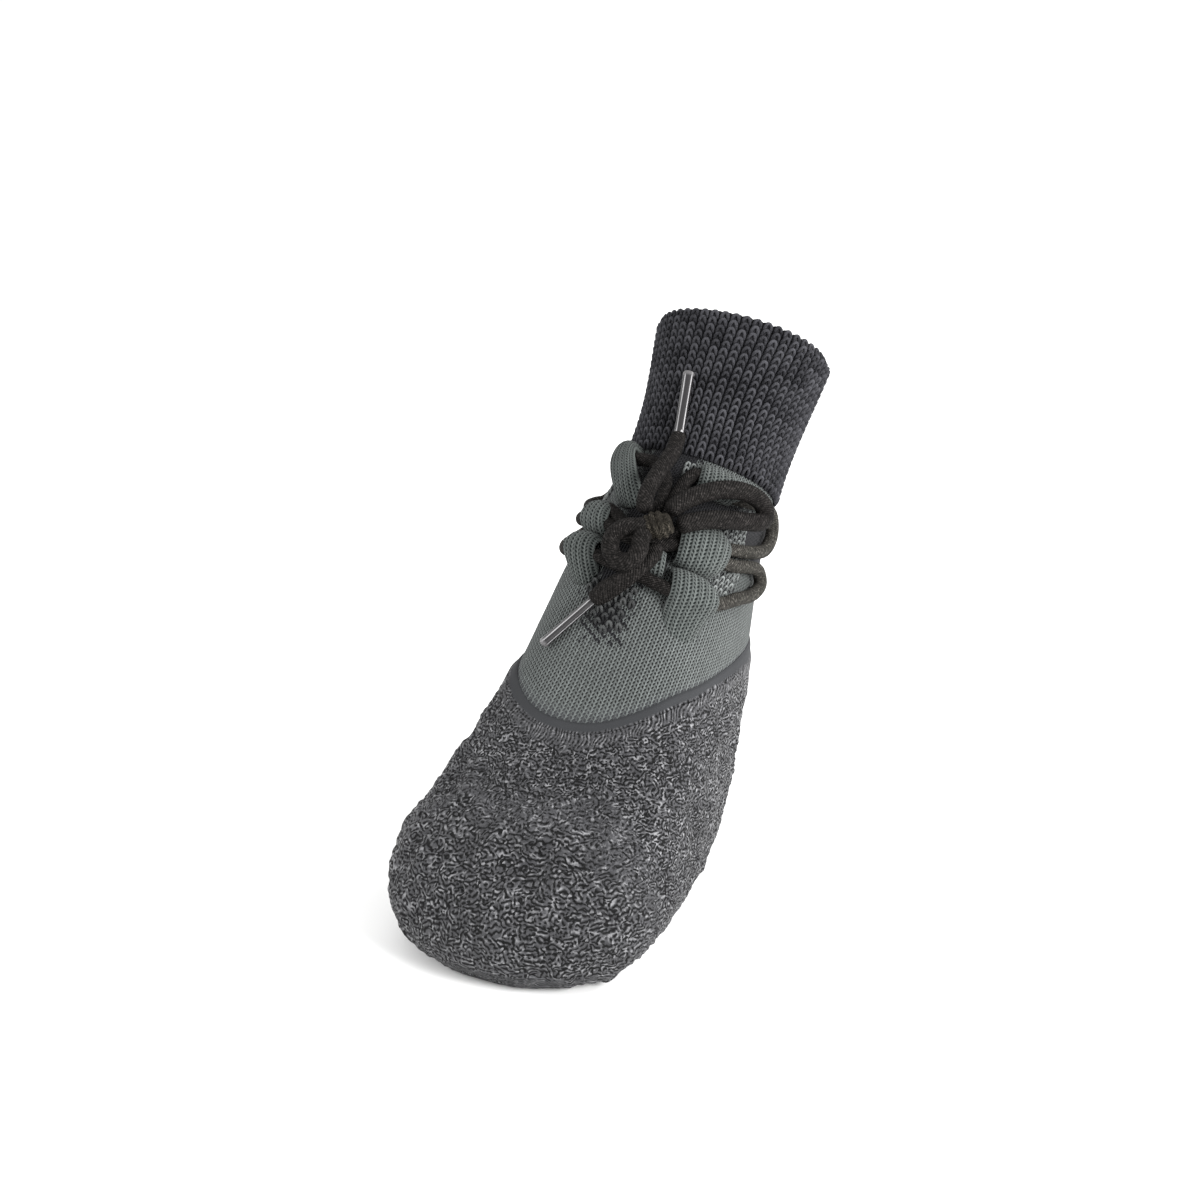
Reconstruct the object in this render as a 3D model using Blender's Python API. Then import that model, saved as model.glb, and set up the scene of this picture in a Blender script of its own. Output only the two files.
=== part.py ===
"""Dog sock: a knitted sock boot with a rubber-dipped foot, six knitted lace loops and a round lace.

The toe points to -Y and +Z is up. X = 0 is the mirror plane of the sock, and +X is the wearer's left.
The sole stands on Z = 0. Sizes are named in millimetres and turned into metres when a mesh is made.
"""

import math
from collections import namedtuple

import bmesh
import bpy
from mathutils import Vector

MM = 0.001

# Knitted sock
KNIT_WALL = 1.6
CUFF_STEP = 1.0
CUFF_ALONG = 112.0
RIM_ROLL = 1.1
SHAFT_LEAN = math.radians(35.5)

# Rubber dip
GAP = 0.3
DIP_WALL = 1.2
SOLE_WALL = 2.5
BAND_WIDTH = 3.5
BAND_STEP = 0.7
DIP_HEIGHT = 64.3
DIP_SAG = 9.9
DIP_SAG_START = -5.0
DIP_SAG_REACH = 22.0

# Lace loops, a row for each pair
Loop = namedtuple("Loop", "name along half_length inner_turn outer_turn")
LOOPS = [
    Loop("low", 74.3, 6.5, 17.5, 38.5),
    Loop("middle", 88.5, 6.8, 19.5, 40.5),
    Loop("top", 103.0, 7.2, 22.0, 43.0),
]
LOOP_HEIGHT = 6.9
LOOP_WALL = 1.3
LOOP_LEAN = 0.8
LOOP_GAP = 0.5

# Lace
LACE_RADIUS = 1.8
LACE_SIDES = 8
LACE_STEP = 4.0
AGLET_RADIUS = 1.05
AGLET_SIDES = 10
AGLET_GAP = 0.7
KNOT_HALF_SIZE = (4.3, 3.5, 2.7)

# Mesh density
COLUMNS = 36
FOOT_RINGS = 14
ANKLE_RINGS = 7
CUFF_RINGS = 5
NOSE_BLEND = 16.0

# One row for each section of the last. The back point runs along the sole, the heel and the back of
# the leg. The front point runs over the toe, the instep and the front of the leg. Middle x is where
# the section's middle lies: the toe turns a little to the wearer's right.
Station = namedtuple("Station", "name back_y back_z front_y front_z middle_x half_width squareness")
STATIONS = [
    Station("nose", -67.2, 9.0, -67.2, 13.5, -2.6, 6.0, 2.0),
    Station("tip", -65.0, 5.5, -64.8, 18.5, -2.6, 15.5, 2.1),
    Station("toe cap", -59.8, 1.0, -58.8, 27.0, -2.4, 26.0, 2.25),
    Station("toe", -50.5, -1.5, -48.0, 36.0, -2.4, 34.6, 2.4),
    Station("ball", -32.0, -1.5, -33.5, 46.0, -1.2, 36.0, 2.4),
    Station("vamp", -13.0, -1.5, -21.5, 59.8, -0.5, 33.2, 2.4),
    Station("waist", 4.0, -1.5, -11.0, 74.5, 0.0, 30.3, 2.35),
    Station("heel", 19.0, 5.5, -2.0, 87.5, 0.0, 28.0, 2.3),
    Station("counter", 33.0, 24.0, 8.0, 99.0, 0.0, 26.0, 2.2),
    Station("ankle", 44.0, 46.0, 20.0, 108.0, 0.0, 23.6, 2.1),
    Station("shaft", 56.0, 70.0, 33.0, 117.5, 0.0, 20.8, 2.0),
    Station("cuff", 70.5, 93.5, 43.5, 130.0, 0.0, 20.0, 2.0),
    Station("collar", 90.0, 120.0, 56.5, 147.0, 0.0, 23.8, 2.0),
]

# Route of the tied lace on the wearer's left, a row for each stop, and mirrored for the right. Turn is
# degrees from the lacing's own middle, along is the level up the leaning shaft, and lift is the height
# over the knit. The lacing sits askew: its middle turns as it comes down, and its right side is higher.
LACING_TURN = 9.5
LACING_SKEW = 0.15
LACING_SKEW_ALONG = 88.5
LACING_TILT = 2.0
Stop = namedtuple("Stop", "turn along lift")
LACING_UPPER = [
    Stop(17.0, 104.6, 3.2),
    Stop(25.0, 104.0, 2.9),
    Stop(41.0, 103.6, 2.8),
    Stop(54.0, 105.8, 2.6),
    Stop(68.0, 108.4, 2.5),
    Stop(82.0, 108.0, 2.5),
    Stop(91.0, 104.0, 2.5),
    Stop(83.0, 98.6, 2.5),
    Stop(69.0, 95.2, 2.5),
    Stop(54.0, 92.4, 2.6),
    Stop(40.0, 90.5, 2.8),
    Stop(23.0, 90.3, 2.9),
    Stop(13.0, 87.8, 2.8),
    Stop(6.0, 85.0, 2.7),
]
LACING_UNDER = Stop(0.0, 83.6, 2.6)
LACING_OVER = Stop(0.0, 83.6, 7.2)
LACING_LOWER = [
    Stop(6.0, 83.2, 4.2),
    Stop(13.0, 84.8, 2.9),
    Stop(23.0, 86.5, 2.9),
    Stop(39.0, 86.5, 2.8),
    Stop(52.0, 87.8, 2.6),
    Stop(65.0, 90.2, 2.5),
    Stop(76.0, 91.4, 2.5),
    Stop(82.0, 88.8, 2.5),
    Stop(73.0, 84.2, 2.5),
    Stop(60.0, 80.3, 2.5),
    Stop(48.0, 76.6, 2.6),
    Stop(37.0, 74.6, 2.8),
    Stop(20.0, 74.2, 2.9),
    Stop(9.0, 74.2, 2.9),
]
LACING_BAR = Stop(0.0, 74.6, 2.9)
LACING_TO_KNOT = {
    "left": [Stop(9.5, 90.8, 6.0), Stop(9.5, 95.0, 5.0), Stop(12.0, 100.4, 3.8)],
    "right": [Stop(-2.0, 90.8, 5.8), Stop(-4.5, 96.0, 4.4), Stop(-1.5, 101.6, 3.4), Stop(7.0, 104.8, 3.0)],
}

# The bow is laid out from the middle of its knot: across towards the wearer's left, up the instep,
# and out from it, a row for each point of a cord's route.
KNOT_MIDDLE = Vector((12.0, 2.5, 105.0))
KNOT_OUT = Vector((0.14, -0.77, 0.62)).normalized()
Spot = namedtuple("Spot", "across up out")
BOW_LOOP_LEFT = [
    Spot(1.6, 4.4, -0.4),
    Spot(4.0, 8.6, -2.0),
    Spot(7.6, 13.0, -5.2),
    Spot(11.5, 16.4, -9.2),
    Spot(15.0, 18.4, -14.0),
    Spot(17.8, 18.6, -18.4),
    Spot(19.2, 17.0, -21.2),
    Spot(19.2, 14.0, -20.4),
    Spot(17.0, 11.2, -16.0),
    Spot(14.0, 9.0, -11.0),
    Spot(10.8, 6.8, -7.0),
    Spot(7.4, 4.0, -3.6),
    Spot(4.6, 1.6, -1.6),
]
BOW_LOOP_RIGHT = [
    Spot(-4.2, -1.7, 1.0),
    Spot(-7.8, -3.2, 2.0),
    Spot(-9.8, -6.4, 2.4),
    Spot(-9.2, -10.0, 2.4),
    Spot(-6.2, -12.2, 2.2),
    Spot(-3.0, -11.2, 2.0),
    Spot(-1.8, -8.2, 2.4),
    Spot(-2.4, -5.2, 2.0),
]
LACE_END_UP = [
    Spot(-3.8, 3.4, 0.0),
    Spot(-5.0, 7.6, -0.6),
    Spot(-5.2, 12.5, -2.8),
    Spot(-5.6, 18.0, -6.4),
    Spot(-6.6, 24.0, -11.0),
    Spot(-7.6, 30.0, -14.0),
]
LACE_END_DOWN = [
    Spot(0.8, -4.2, -1.8),
    Spot(0.4, -7.4, -2.6),
    Spot(-2.0, -11.5, -2.4),
    Spot(-5.6, -15.6, -3.2),
    Spot(-9.4, -18.6, -5.0),
    Spot(-12.5, -21.2, -6.6),
]
AGLET_TIP_UP = Spot(-10.8, 48.5, -14.6)
AGLET_TIP_DOWN = Spot(-24.4, -34.8, -12.4)

# Finish of each material: colour (linear), roughness, metallic
FINISHES = {
    "knit": ((0.150, 0.160, 0.155), 0.95, 0.0),
    "loops": ((0.130, 0.143, 0.139), 0.95, 0.0),
    "rubber": ((0.086, 0.085, 0.090), 0.55, 0.0),
    "lace": ((0.027, 0.025, 0.026), 0.90, 0.0),
    "aglet": ((0.020, 0.020, 0.024), 0.15, 0.0),
}


def clear_scene():
    for item in list(bpy.data.objects):
        bpy.data.objects.remove(item, do_unlink=True)


def make_material(name):
    colour, roughness, metallic = FINISHES[name]
    material = bpy.data.materials.new(name)
    material.use_nodes = True
    shader = material.node_tree.nodes["Principled BSDF"]
    shader.inputs["Base Color"].default_value = (*colour, 1.0)
    shader.inputs["Roughness"].default_value = roughness
    shader.inputs["Metallic"].default_value = metallic
    return material


def hermite(knots, rows, place):
    """Smooth curve through the rows at their knots, read at one place."""
    last = len(knots) - 2
    index = 0
    while index < last and place > knots[index + 1]:
        index += 1

    def slope(i):
        low, high = max(i - 1, 0), min(i + 1, len(knots) - 1)
        return [(b - a) / (knots[high] - knots[low]) for a, b in zip(rows[low], rows[high])]

    span = knots[index + 1] - knots[index]
    t = min(max((place - knots[index]) / span, 0.0), 1.0)
    start, end = rows[index], rows[index + 1]
    leave, arrive = slope(index), slope(index + 1)
    weight_start = 2 * t**3 - 3 * t**2 + 1
    weight_leave = (t**3 - 2 * t**2 + t) * span
    weight_end = 3 * t**2 - 2 * t**3
    weight_arrive = (t**3 - t**2) * span
    return [
        weight_start * a + weight_leave * m + weight_end * b + weight_arrive * n
        for a, m, b, n in zip(start, leave, end, arrive)
    ]


def running_length(points):
    lengths = [0.0]
    for a, b in zip(points, points[1:]):
        lengths.append(lengths[-1] + math.dist(a, b))
    return lengths


SECTION_ROWS = [station[1:] for station in STATIONS]
SECTION_KNOTS = running_length(
    [((s.back_y + s.front_y) / 2, (s.back_z + s.front_z) / 2) for s in STATIONS]
)
INSTEP_PLACE = SECTION_KNOTS[3]
COLLAR_PLACE = SECTION_KNOTS[-1]


def signed_power(value, power):
    return math.copysign(abs(value) ** power, value)


def skin(place, turn, lift=0.0, floor=None):
    """Point on the sock, lift outside the knit, at a place along its middle line and a turn in radians."""
    section = hermite(SECTION_KNOTS, SECTION_ROWS, place)
    back_y, back_z, front_y, front_z, middle_x, half_width, squareness = section
    half_y, half_z = (front_y - back_y) / 2, (front_z - back_z) / 2
    half_depth = math.hypot(half_y, half_z)
    rise = signed_power(math.cos(turn), 2 / squareness) * (half_depth + lift) / half_depth
    x = middle_x + signed_power(math.sin(turn), 2 / squareness) * (half_width + lift)
    y = (back_y + front_y) / 2 + half_y * rise
    z = (back_z + front_z) / 2 + half_z * rise
    y -= lift * max(0.0, 1.0 - place / NOSE_BLEND)
    if floor is not None:
        z = max(z, floor)
    return Vector((x, y, z))


def along_shaft(point):
    return point.y * math.sin(SHAFT_LEAN) + point.z * math.cos(SHAFT_LEAN)


def over_dip_line(point):
    """Height over the edge of the rubber, which sags over the instep and is level round the sides."""
    reach = min(max((DIP_SAG_START - point.y) / DIP_SAG_REACH, 0.0), 1.0)
    return point.z - (DIP_HEIGHT - DIP_SAG * reach**2)


def place_where(turn, measure, low=0.0, lift=0.0):
    """Place on one column of the sock where a measure that grows along it passes zero."""
    high = COLLAR_PLACE
    for _ in range(40):
        middle = (low + high) / 2
        if measure(skin(middle, turn, lift)) < 0:
            low = middle
        else:
            high = middle
    return (low + high) / 2


TURNS = [2 * math.pi * j / COLUMNS for j in range(COLUMNS)]
DIP_PLACES = [place_where(turn, over_dip_line) for turn in TURNS]
CUFF_PLACES = [
    place_where(turn, lambda point: along_shaft(point) - CUFF_ALONG, INSTEP_PLACE) for turn in TURNS
]
FOOT_SHARES = [(k / FOOT_RINGS) ** 1.25 for k in range(FOOT_RINGS + 1)]


def ring(places, lift, floor=None):
    return [skin(place, turn, lift, floor) for place, turn in zip(places, TURNS)]


def shares_between(lows, highs, share):
    return [low + (high - low) * share for low, high in zip(lows, highs)]


def foot_rings(lift, floor):
    """Rings from the nose to the dip line."""
    return [ring([place * share for place in DIP_PLACES], lift, floor) for share in FOOT_SHARES]


def ankle_rings(lift):
    """Rings over the dip line, up to the foot of the cuff."""
    steps = [k / ANKLE_RINGS for k in range(1, ANKLE_RINGS + 1)]
    return [ring(shares_between(DIP_PLACES, CUFF_PLACES, step), lift) for step in steps]


def cuff_rings(lift, start):
    collar = [COLLAR_PLACE] * COLUMNS
    steps = [start + (1 - start) * k / CUFF_RINGS for k in range(CUFF_RINGS + 1)]
    return [ring(shares_between(CUFF_PLACES, collar, step), lift) for step in steps]


def rim_rings(outer_lift, inner_lift):
    """Rolled edge of the collar, from the outer lift round to the inner one."""
    collar = [COLLAR_PLACE] * COLUMNS
    middle = (outer_lift + inner_lift) / 2
    half = (outer_lift - inner_lift) / 2
    up_y, up_z = math.sin(SHAFT_LEAN), math.cos(SHAFT_LEAN)
    rings = []
    for angle in (45, 90, 135):
        bend = math.radians(angle)
        edge = ring(collar, middle + half * math.cos(bend))
        rise = RIM_ROLL * math.sin(bend)
        rings.append([point + Vector((0, up_y * rise, up_z * rise)) for point in edge])
    return rings


def mesh_object(name, vertices, faces, material, smooth=True):
    mesh = bpy.data.meshes.new(name)
    mesh.from_pydata([Vector(v) * MM for v in vertices], [], faces)
    build = bmesh.new()
    build.from_mesh(mesh)
    bmesh.ops.recalc_face_normals(build, faces=build.faces)
    build.to_mesh(mesh)
    build.free()
    mesh.materials.append(material)
    if smooth:
        mesh.shade_smooth()
        mesh.set_sharp_from_angle(angle=math.radians(50))
    item = bpy.data.objects.new(name, mesh)
    bpy.context.scene.collection.objects.link(item)
    return item


def ring_faces(vertices, count, rings):
    """Triangles between neighbouring rings, each quad split along its shorter diagonal."""
    faces = []
    for k in range(rings - 1):
        for j in range(count):
            n = (j + 1) % count
            a, b = k * count + j, k * count + n
            c, d = b + count, a + count
            if math.dist(vertices[a], vertices[c]) < math.dist(vertices[b], vertices[d]):
                faces.extend(((a, b, c), (a, c, d)))
            else:
                faces.extend(((a, b, d), (b, c, d)))
    return faces


def closed_chain(rings):
    """Vertices and faces of a chain of rings whose first and last rings are closed by fans."""
    vertices = [point for one in rings for point in one]
    count = len(rings[0])
    faces = ring_faces(vertices, count, len(rings))
    for start in (0, (len(rings) - 1) * count):
        edge = vertices[start : start + count]
        centre = sum(edge, Vector()) / count
        vertices.append(centre)
        pole = len(vertices) - 1
        faces.extend((start + j, start + (j + 1) % count, pole) for j in range(count))
    return vertices, faces


def knitted_upper():
    """The sock: a closed foot, an open collar, and a thicker ribbed cuff as a step in the wall."""
    floor = SOLE_WALL + GAP
    outer = foot_rings(0.0, floor) + ankle_rings(0.0) + cuff_rings(CUFF_STEP, 0.02)
    inner = foot_rings(-KNIT_WALL, floor + KNIT_WALL) + ankle_rings(-KNIT_WALL)
    inner += cuff_rings(-KNIT_WALL, 0.2)
    rings = outer + rim_rings(CUFF_STEP, -KNIT_WALL) + inner[::-1]
    return closed_chain(rings)


def rubber_sole():
    """The dipped skin: flat sole, toe, sides and heel, with a thinner smooth band along its edge."""
    outer_lift = GAP + DIP_WALL
    band_lift = outer_lift - BAND_STEP
    outer = foot_rings(outer_lift, 0.0)[:-1]
    outer.append(ring([place - BAND_WIDTH for place in DIP_PLACES], outer_lift, 0.0))
    outer.append(ring([place - BAND_WIDTH + 0.3 for place in DIP_PLACES], band_lift, 0.0))
    outer.append(ring(DIP_PLACES, band_lift, 0.0))
    inner = foot_rings(GAP, SOLE_WALL)
    return closed_chain(outer + inner[::-1])


def stop_point(stop, side=1):
    """Point over the sock at a stop of the lacing, on the wearer's left or mirrored to the right."""
    level = stop.along - LACING_TILT * math.sin(math.radians(stop.turn)) * side
    middle = LACING_TURN + LACING_SKEW * (LACING_SKEW_ALONG - stop.along)
    turn = math.radians(middle + stop.turn * side)
    place = place_where(turn, lambda point: along_shaft(point) - level, INSTEP_PLACE, lift=stop.lift)
    return skin(place, turn, stop.lift)


def lace_loop(side, loop):
    """A knitted strip that arches over the lace, both its ends on the sock."""
    arc = [math.pi * k / 9 for k in range(10)]
    turns = [loop.inner_turn + (loop.outer_turn - loop.inner_turn) * k / 4 for k in range(5)]
    inner_half, inner_height = loop.half_length - LOOP_WALL, LOOP_HEIGHT - LOOP_WALL
    strips = []
    for turn in turns:
        profile = []
        for half, height, bends in (
            (loop.half_length, LOOP_HEIGHT, arc),
            (inner_half, inner_height, arc[::-1]),
        ):
            for bend in bends:
                along = loop.along - half * math.cos(bend) + LOOP_LEAN * math.sin(bend)
                lift = LOOP_GAP + height * math.sin(bend) ** 0.8
                profile.append(stop_point(Stop(turn, along, lift), side))
        strips.append(profile)
    count = len(strips[0])
    vertices = [point for strip in strips for point in strip]
    faces = ring_faces(vertices, count, len(strips))
    for start in (0, (len(strips) - 1) * count):
        for j in range(len(arc) - 1):
            faces.append((start + j, start + j + 1, start + count - 2 - j, start + count - 1 - j))
    return vertices, faces


def smooth_route(points, step):
    """Points a step apart on a smooth curve through a route's own points."""
    knots = running_length(points)
    pieces = max(2, round(knots[-1] / step))
    rows = [tuple(point) for point in points]
    return [Vector(hermite(knots, rows, knots[-1] * k / pieces)) for k in range(pieces + 1)]


def bow_axes():
    across = (Vector((1, 0, 0)) - KNOT_OUT * KNOT_OUT.x).normalized()
    return across, KNOT_OUT.cross(across), KNOT_OUT


def bow_point(spot):
    across, up, out = bow_axes()
    return KNOT_MIDDLE + across * spot.across + up * spot.up + out * spot.out


def tube(points, radius, sides, end_radius=None):
    """A round tube along the points, with its two ends capped flat."""
    end_radius = end_radius or radius
    tangents = []
    for k in range(len(points)):
        before, after = points[max(k - 1, 0)], points[min(k + 1, len(points) - 1)]
        tangents.append((after - before).normalized())
    across = tangents[0].orthogonal().normalized()
    rings = []
    for k, (point, tangent) in enumerate(zip(points, tangents)):
        across = (across - tangent * across.dot(tangent)).normalized()
        up = tangent.cross(across)
        size = radius + (end_radius - radius) * k / (len(points) - 1)
        rings.append(
            [
                point + size * (math.cos(a) * across + math.sin(a) * up)
                for a in (2 * math.pi * j / sides for j in range(sides))
            ]
        )
    return closed_chain(rings)


def lacing():
    """The tied part of the lace, one cord from the knot through all six loops and back to the knot."""
    points = [stop_point(stop) for stop in LACING_TO_KNOT["left"] + LACING_UPPER + [LACING_UNDER]]
    points += [stop_point(stop, -1) for stop in LACING_LOWER + [LACING_BAR]]
    points += [stop_point(stop) for stop in LACING_LOWER[::-1] + [LACING_OVER]]
    points += [stop_point(stop, -1) for stop in LACING_UPPER[::-1] + LACING_TO_KNOT["right"][::-1]]
    return tube(smooth_route(points, LACE_STEP), LACE_RADIUS, LACE_SIDES)


def bow_knot():
    """The wrapped knot of the bow, a rounded lump a little wider than it is tall."""
    across, up, out = (axis * size for axis, size in zip(bow_axes(), KNOT_HALF_SIZE))
    bands, around = 7, 12
    rings = []
    for k in range(bands):
        level = math.pi * (k + 0.5) / bands
        size, height = math.sin(level) ** 0.8, math.cos(level)
        turns = [2 * math.pi * j / around for j in range(around)]
        middle = KNOT_MIDDLE + out * height
        rings.append([middle + (across * math.cos(a) + up * math.sin(a)) * size for a in turns])
    return closed_chain(rings)


def cord_object(name, spots, material):
    """A free stretch of the lace: a bevelled curve with filled caps."""
    points = smooth_route([bow_point(spot) for spot in spots], LACE_STEP)
    curve = bpy.data.curves.new(name, "CURVE")
    curve.dimensions = "3D"
    curve.bevel_depth = LACE_RADIUS * MM
    curve.bevel_resolution = 2
    curve.use_fill_caps = True
    spline = curve.splines.new("POLY")
    spline.points.add(len(points) - 1)
    for target, point in zip(spline.points, points):
        target.co = (*(point * MM), 1.0)
    curve.materials.append(material)
    item = bpy.data.objects.new(name, curve)
    bpy.context.scene.collection.objects.link(item)
    return item


def aglet(last_spot, tip_spot):
    """The stiff sheath on the tip of the lace, in line from the end of the cord."""
    start, tip = bow_point(last_spot), bow_point(tip_spot)
    start += (tip - start).normalized() * AGLET_GAP
    points = [start + (tip - start) * share for share in (0.0, 0.5, 1.0)]
    return tube(points, AGLET_RADIUS, AGLET_SIDES, AGLET_RADIUS * 0.9)


def main():
    clear_scene()
    materials = {name: make_material(name) for name in FINISHES}
    mesh_object("knitted_upper", *knitted_upper(), materials["knit"])
    mesh_object("rubber_sole", *rubber_sole(), materials["rubber"])
    for loop in LOOPS:
        for side_name, side in (("left", 1), ("right", -1)):
            mesh_object(f"lace_loop_{side_name}_{loop.name}", *lace_loop(side, loop), materials["loops"])
    mesh_object("lacing", *lacing(), materials["lace"])
    mesh_object("bow_knot", *bow_knot(), materials["lace"])
    cord_object("bow_loop_left", BOW_LOOP_LEFT, materials["lace"])
    cord_object("bow_loop_right", BOW_LOOP_RIGHT, materials["lace"])
    cord_object("lace_end_up", LACE_END_UP, materials["lace"])
    cord_object("lace_end_down", LACE_END_DOWN, materials["lace"])
    mesh_object("aglet_up", *aglet(LACE_END_UP[-1], AGLET_TIP_UP), materials["aglet"])
    mesh_object("aglet_down", *aglet(LACE_END_DOWN[-1], AGLET_TIP_DOWN), materials["aglet"])


main()
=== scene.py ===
import math
from collections import namedtuple

import bpy
import numpy as np
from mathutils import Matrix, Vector


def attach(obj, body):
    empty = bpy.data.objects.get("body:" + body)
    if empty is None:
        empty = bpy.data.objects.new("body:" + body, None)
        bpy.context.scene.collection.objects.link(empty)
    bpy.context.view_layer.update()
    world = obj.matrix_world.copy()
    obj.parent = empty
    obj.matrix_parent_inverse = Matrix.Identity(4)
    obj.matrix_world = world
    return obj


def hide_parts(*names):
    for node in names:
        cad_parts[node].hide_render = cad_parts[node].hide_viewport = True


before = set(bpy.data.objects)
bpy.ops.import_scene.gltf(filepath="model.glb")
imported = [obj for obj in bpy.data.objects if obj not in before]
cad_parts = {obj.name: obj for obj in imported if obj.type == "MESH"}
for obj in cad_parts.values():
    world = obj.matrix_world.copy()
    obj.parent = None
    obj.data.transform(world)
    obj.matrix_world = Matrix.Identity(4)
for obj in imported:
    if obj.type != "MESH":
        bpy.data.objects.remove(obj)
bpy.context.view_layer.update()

mm = 0.001
scene = bpy.context.scene


def addItem(name, data):
    item = bpy.data.objects.new(name, data)
    scene.collection.objects.link(item)
    return item


class Signal:
    # a node's output that works like a number: each sum lays a math node in the same tree
    def __init__(self, socket):
        self.socket = socket

    def lay(self, kind, inputs, out=0, **settings):
        return lay(self.socket.id_data, kind, inputs, out, **settings)

    def calc(self, operation, *values, clamp=False):
        inputs = dict(enumerate((self, *values)))
        return self.lay("ShaderNodeMath", inputs, operation=operation, use_clamp=clamp)

    def __add__(self, other):
        return self.calc("ADD", other)

    def __sub__(self, other):
        return self.calc("SUBTRACT", other)

    def __mul__(self, other):
        return self.calc("MULTIPLY", other)

    def __truediv__(self, other):
        return self.calc("DIVIDE", other)

    def __pow__(self, power):
        return self.calc("POWER", power)

    def __abs__(self):
        return self.calc("ABSOLUTE")

    def ramp(self, low, high):
        # a soft step from 0 to 1
        inputs = {0: self, 1: low, 2: high, 3: 0.0, 4: 1.0}
        return self.lay("ShaderNodeMapRange", inputs, interpolation_type="SMOOTHSTEP")

    def blend(self, first, second):
        # a mix of two numbers by this share
        return self.lay("ShaderNodeMix", {0: self, 2: first, 3: second}, data_type="FLOAT")

    def tint(self, first, second):
        # a mix of two colours by this share
        return self.lay("ShaderNodeMix", {0: self, 6: first, 7: second}, 2, data_type="RGBA")

    def lit(self, colour):
        # a colour made lighter or darker by this number
        grey = self.lay("ShaderNodeCombineColor", {0: self, 1: self, 2: self})
        inputs = {0: 1.0, 6: colour, 7: grey}
        return self.lay("ShaderNodeMix", inputs, 2, data_type="RGBA", blend_type="MULTIPLY")

    def noise(self, scale, detail, out="Fac"):
        # cloudy noise at this place
        return self.lay("ShaderNodeTexNoise", {"Vector": self, "Scale": scale, "Detail": detail}, out)


def wire(source, target):
    if isinstance(source, Signal):
        target.id_data.links.new(source.socket, target)
    else:
        target.default_value = source


def wireAll(values, sockets):
    for label, value in values.items():
        wire(value, sockets[label])


def lay(tree, kind, inputs=None, out=0, **settings):
    # lays a node, wires it up and gives back one of its outputs
    node = tree.nodes.new(kind)
    for label, value in settings.items():
        setattr(node, label, value)
    wireAll(inputs or {}, node.inputs)
    return Signal(node.outputs[out])


def signalsOf(sockets):
    return {socket.name: Signal(socket) for socket in sockets}


def newMaterial(name):
    material = bpy.data.materials.new(name)
    material.use_nodes = True
    return material, material.node_tree, material.node_tree.nodes["Principled BSDF"].inputs


def finishMaterial(shader, colour, height, bump, finish):
    # bump is the strength and depth of the relief, finish holds the shader's plain values by name
    inputs = {"Strength": bump[0], "Distance": bump[1], "Height": height}
    wire(colour, shader["Base Color"])
    wire(height.lay("ShaderNodeBump", inputs), shader["Normal"])
    wireAll(finish, shader)


# camera, floor and light
view = {
    "eye": (0.3020, -0.5338, 0.3054),
    "look": (-0.4672, 0.8159, -0.3406),
    "lens": 75.0,
    "sensor": 36.0,
    "nearest": 0.01,
}
studio = {
    "floorColour": (0.93, 0.93, 0.925, 1),
    "floorRoughness": 0.7,
    "floorSize": 6.0,
    "worldColour": (1, 1, 1, 1),
    "worldStrength": 1.06,
    "lightsAim": (0.0, 0.0, 0.06),
}
Light = namedtuple("Light", "name place power size")
lights = [
    Light("keyLight", (1.05, -0.26, 0.52), 24.0, 0.5),
    Light("rimLight", (0.55, 0.65, 0.55), 5.0, 0.5),
    Light("fillLight", (-0.95, -0.6, 0.42), 10.0, 0.9),
]


def turnTowards(item, way):
    item.rotation_euler = Vector(way).to_track_quat("-Z", "Y").to_euler()


def makeCamera():
    lens = bpy.data.cameras.new("studioCamera")
    lens.lens = view["lens"]
    lens.sensor_width = view["sensor"]
    lens.clip_start = view["nearest"]
    scene.camera = addItem("studioCamera", lens)
    scene.camera.location = view["eye"]
    turnTowards(scene.camera, view["look"])


def makeLight(light):
    lamp = bpy.data.lights.new(light.name, "AREA")
    lamp.energy = light.power
    lamp.size = light.size
    item = addItem(light.name, lamp)
    item.location = light.place
    turnTowards(item, Vector(studio["lightsAim"]) - Vector(light.place))


def makeStudio():
    scene.world = bpy.data.worlds.new("studioWorld")
    scene.world.use_nodes = True
    sky = {"Color": studio["worldColour"], "Strength": studio["worldStrength"]}
    wireAll(sky, scene.world.node_tree.nodes["Background"].inputs)
    half = studio["floorSize"] / 2
    corners = [(-half, -half, 0), (half, -half, 0), (half, half, 0), (-half, half, 0)]
    mesh = bpy.data.meshes.new("studioFloor")
    mesh.from_pydata(corners, [], [(0, 1, 2, 3)])
    material, _, shader = newMaterial("studioFloor")
    wireAll({"Base Color": studio["floorColour"], "Roughness": studio["floorRoughness"]}, shader)
    mesh.materials.append(material)
    floor = addItem("studioFloor", mesh)
    for light in lights:
        makeLight(light)
    scene.view_settings.view_transform = "Standard"


makeCamera()
makeStudio()
print("camera and studio ready")


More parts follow.
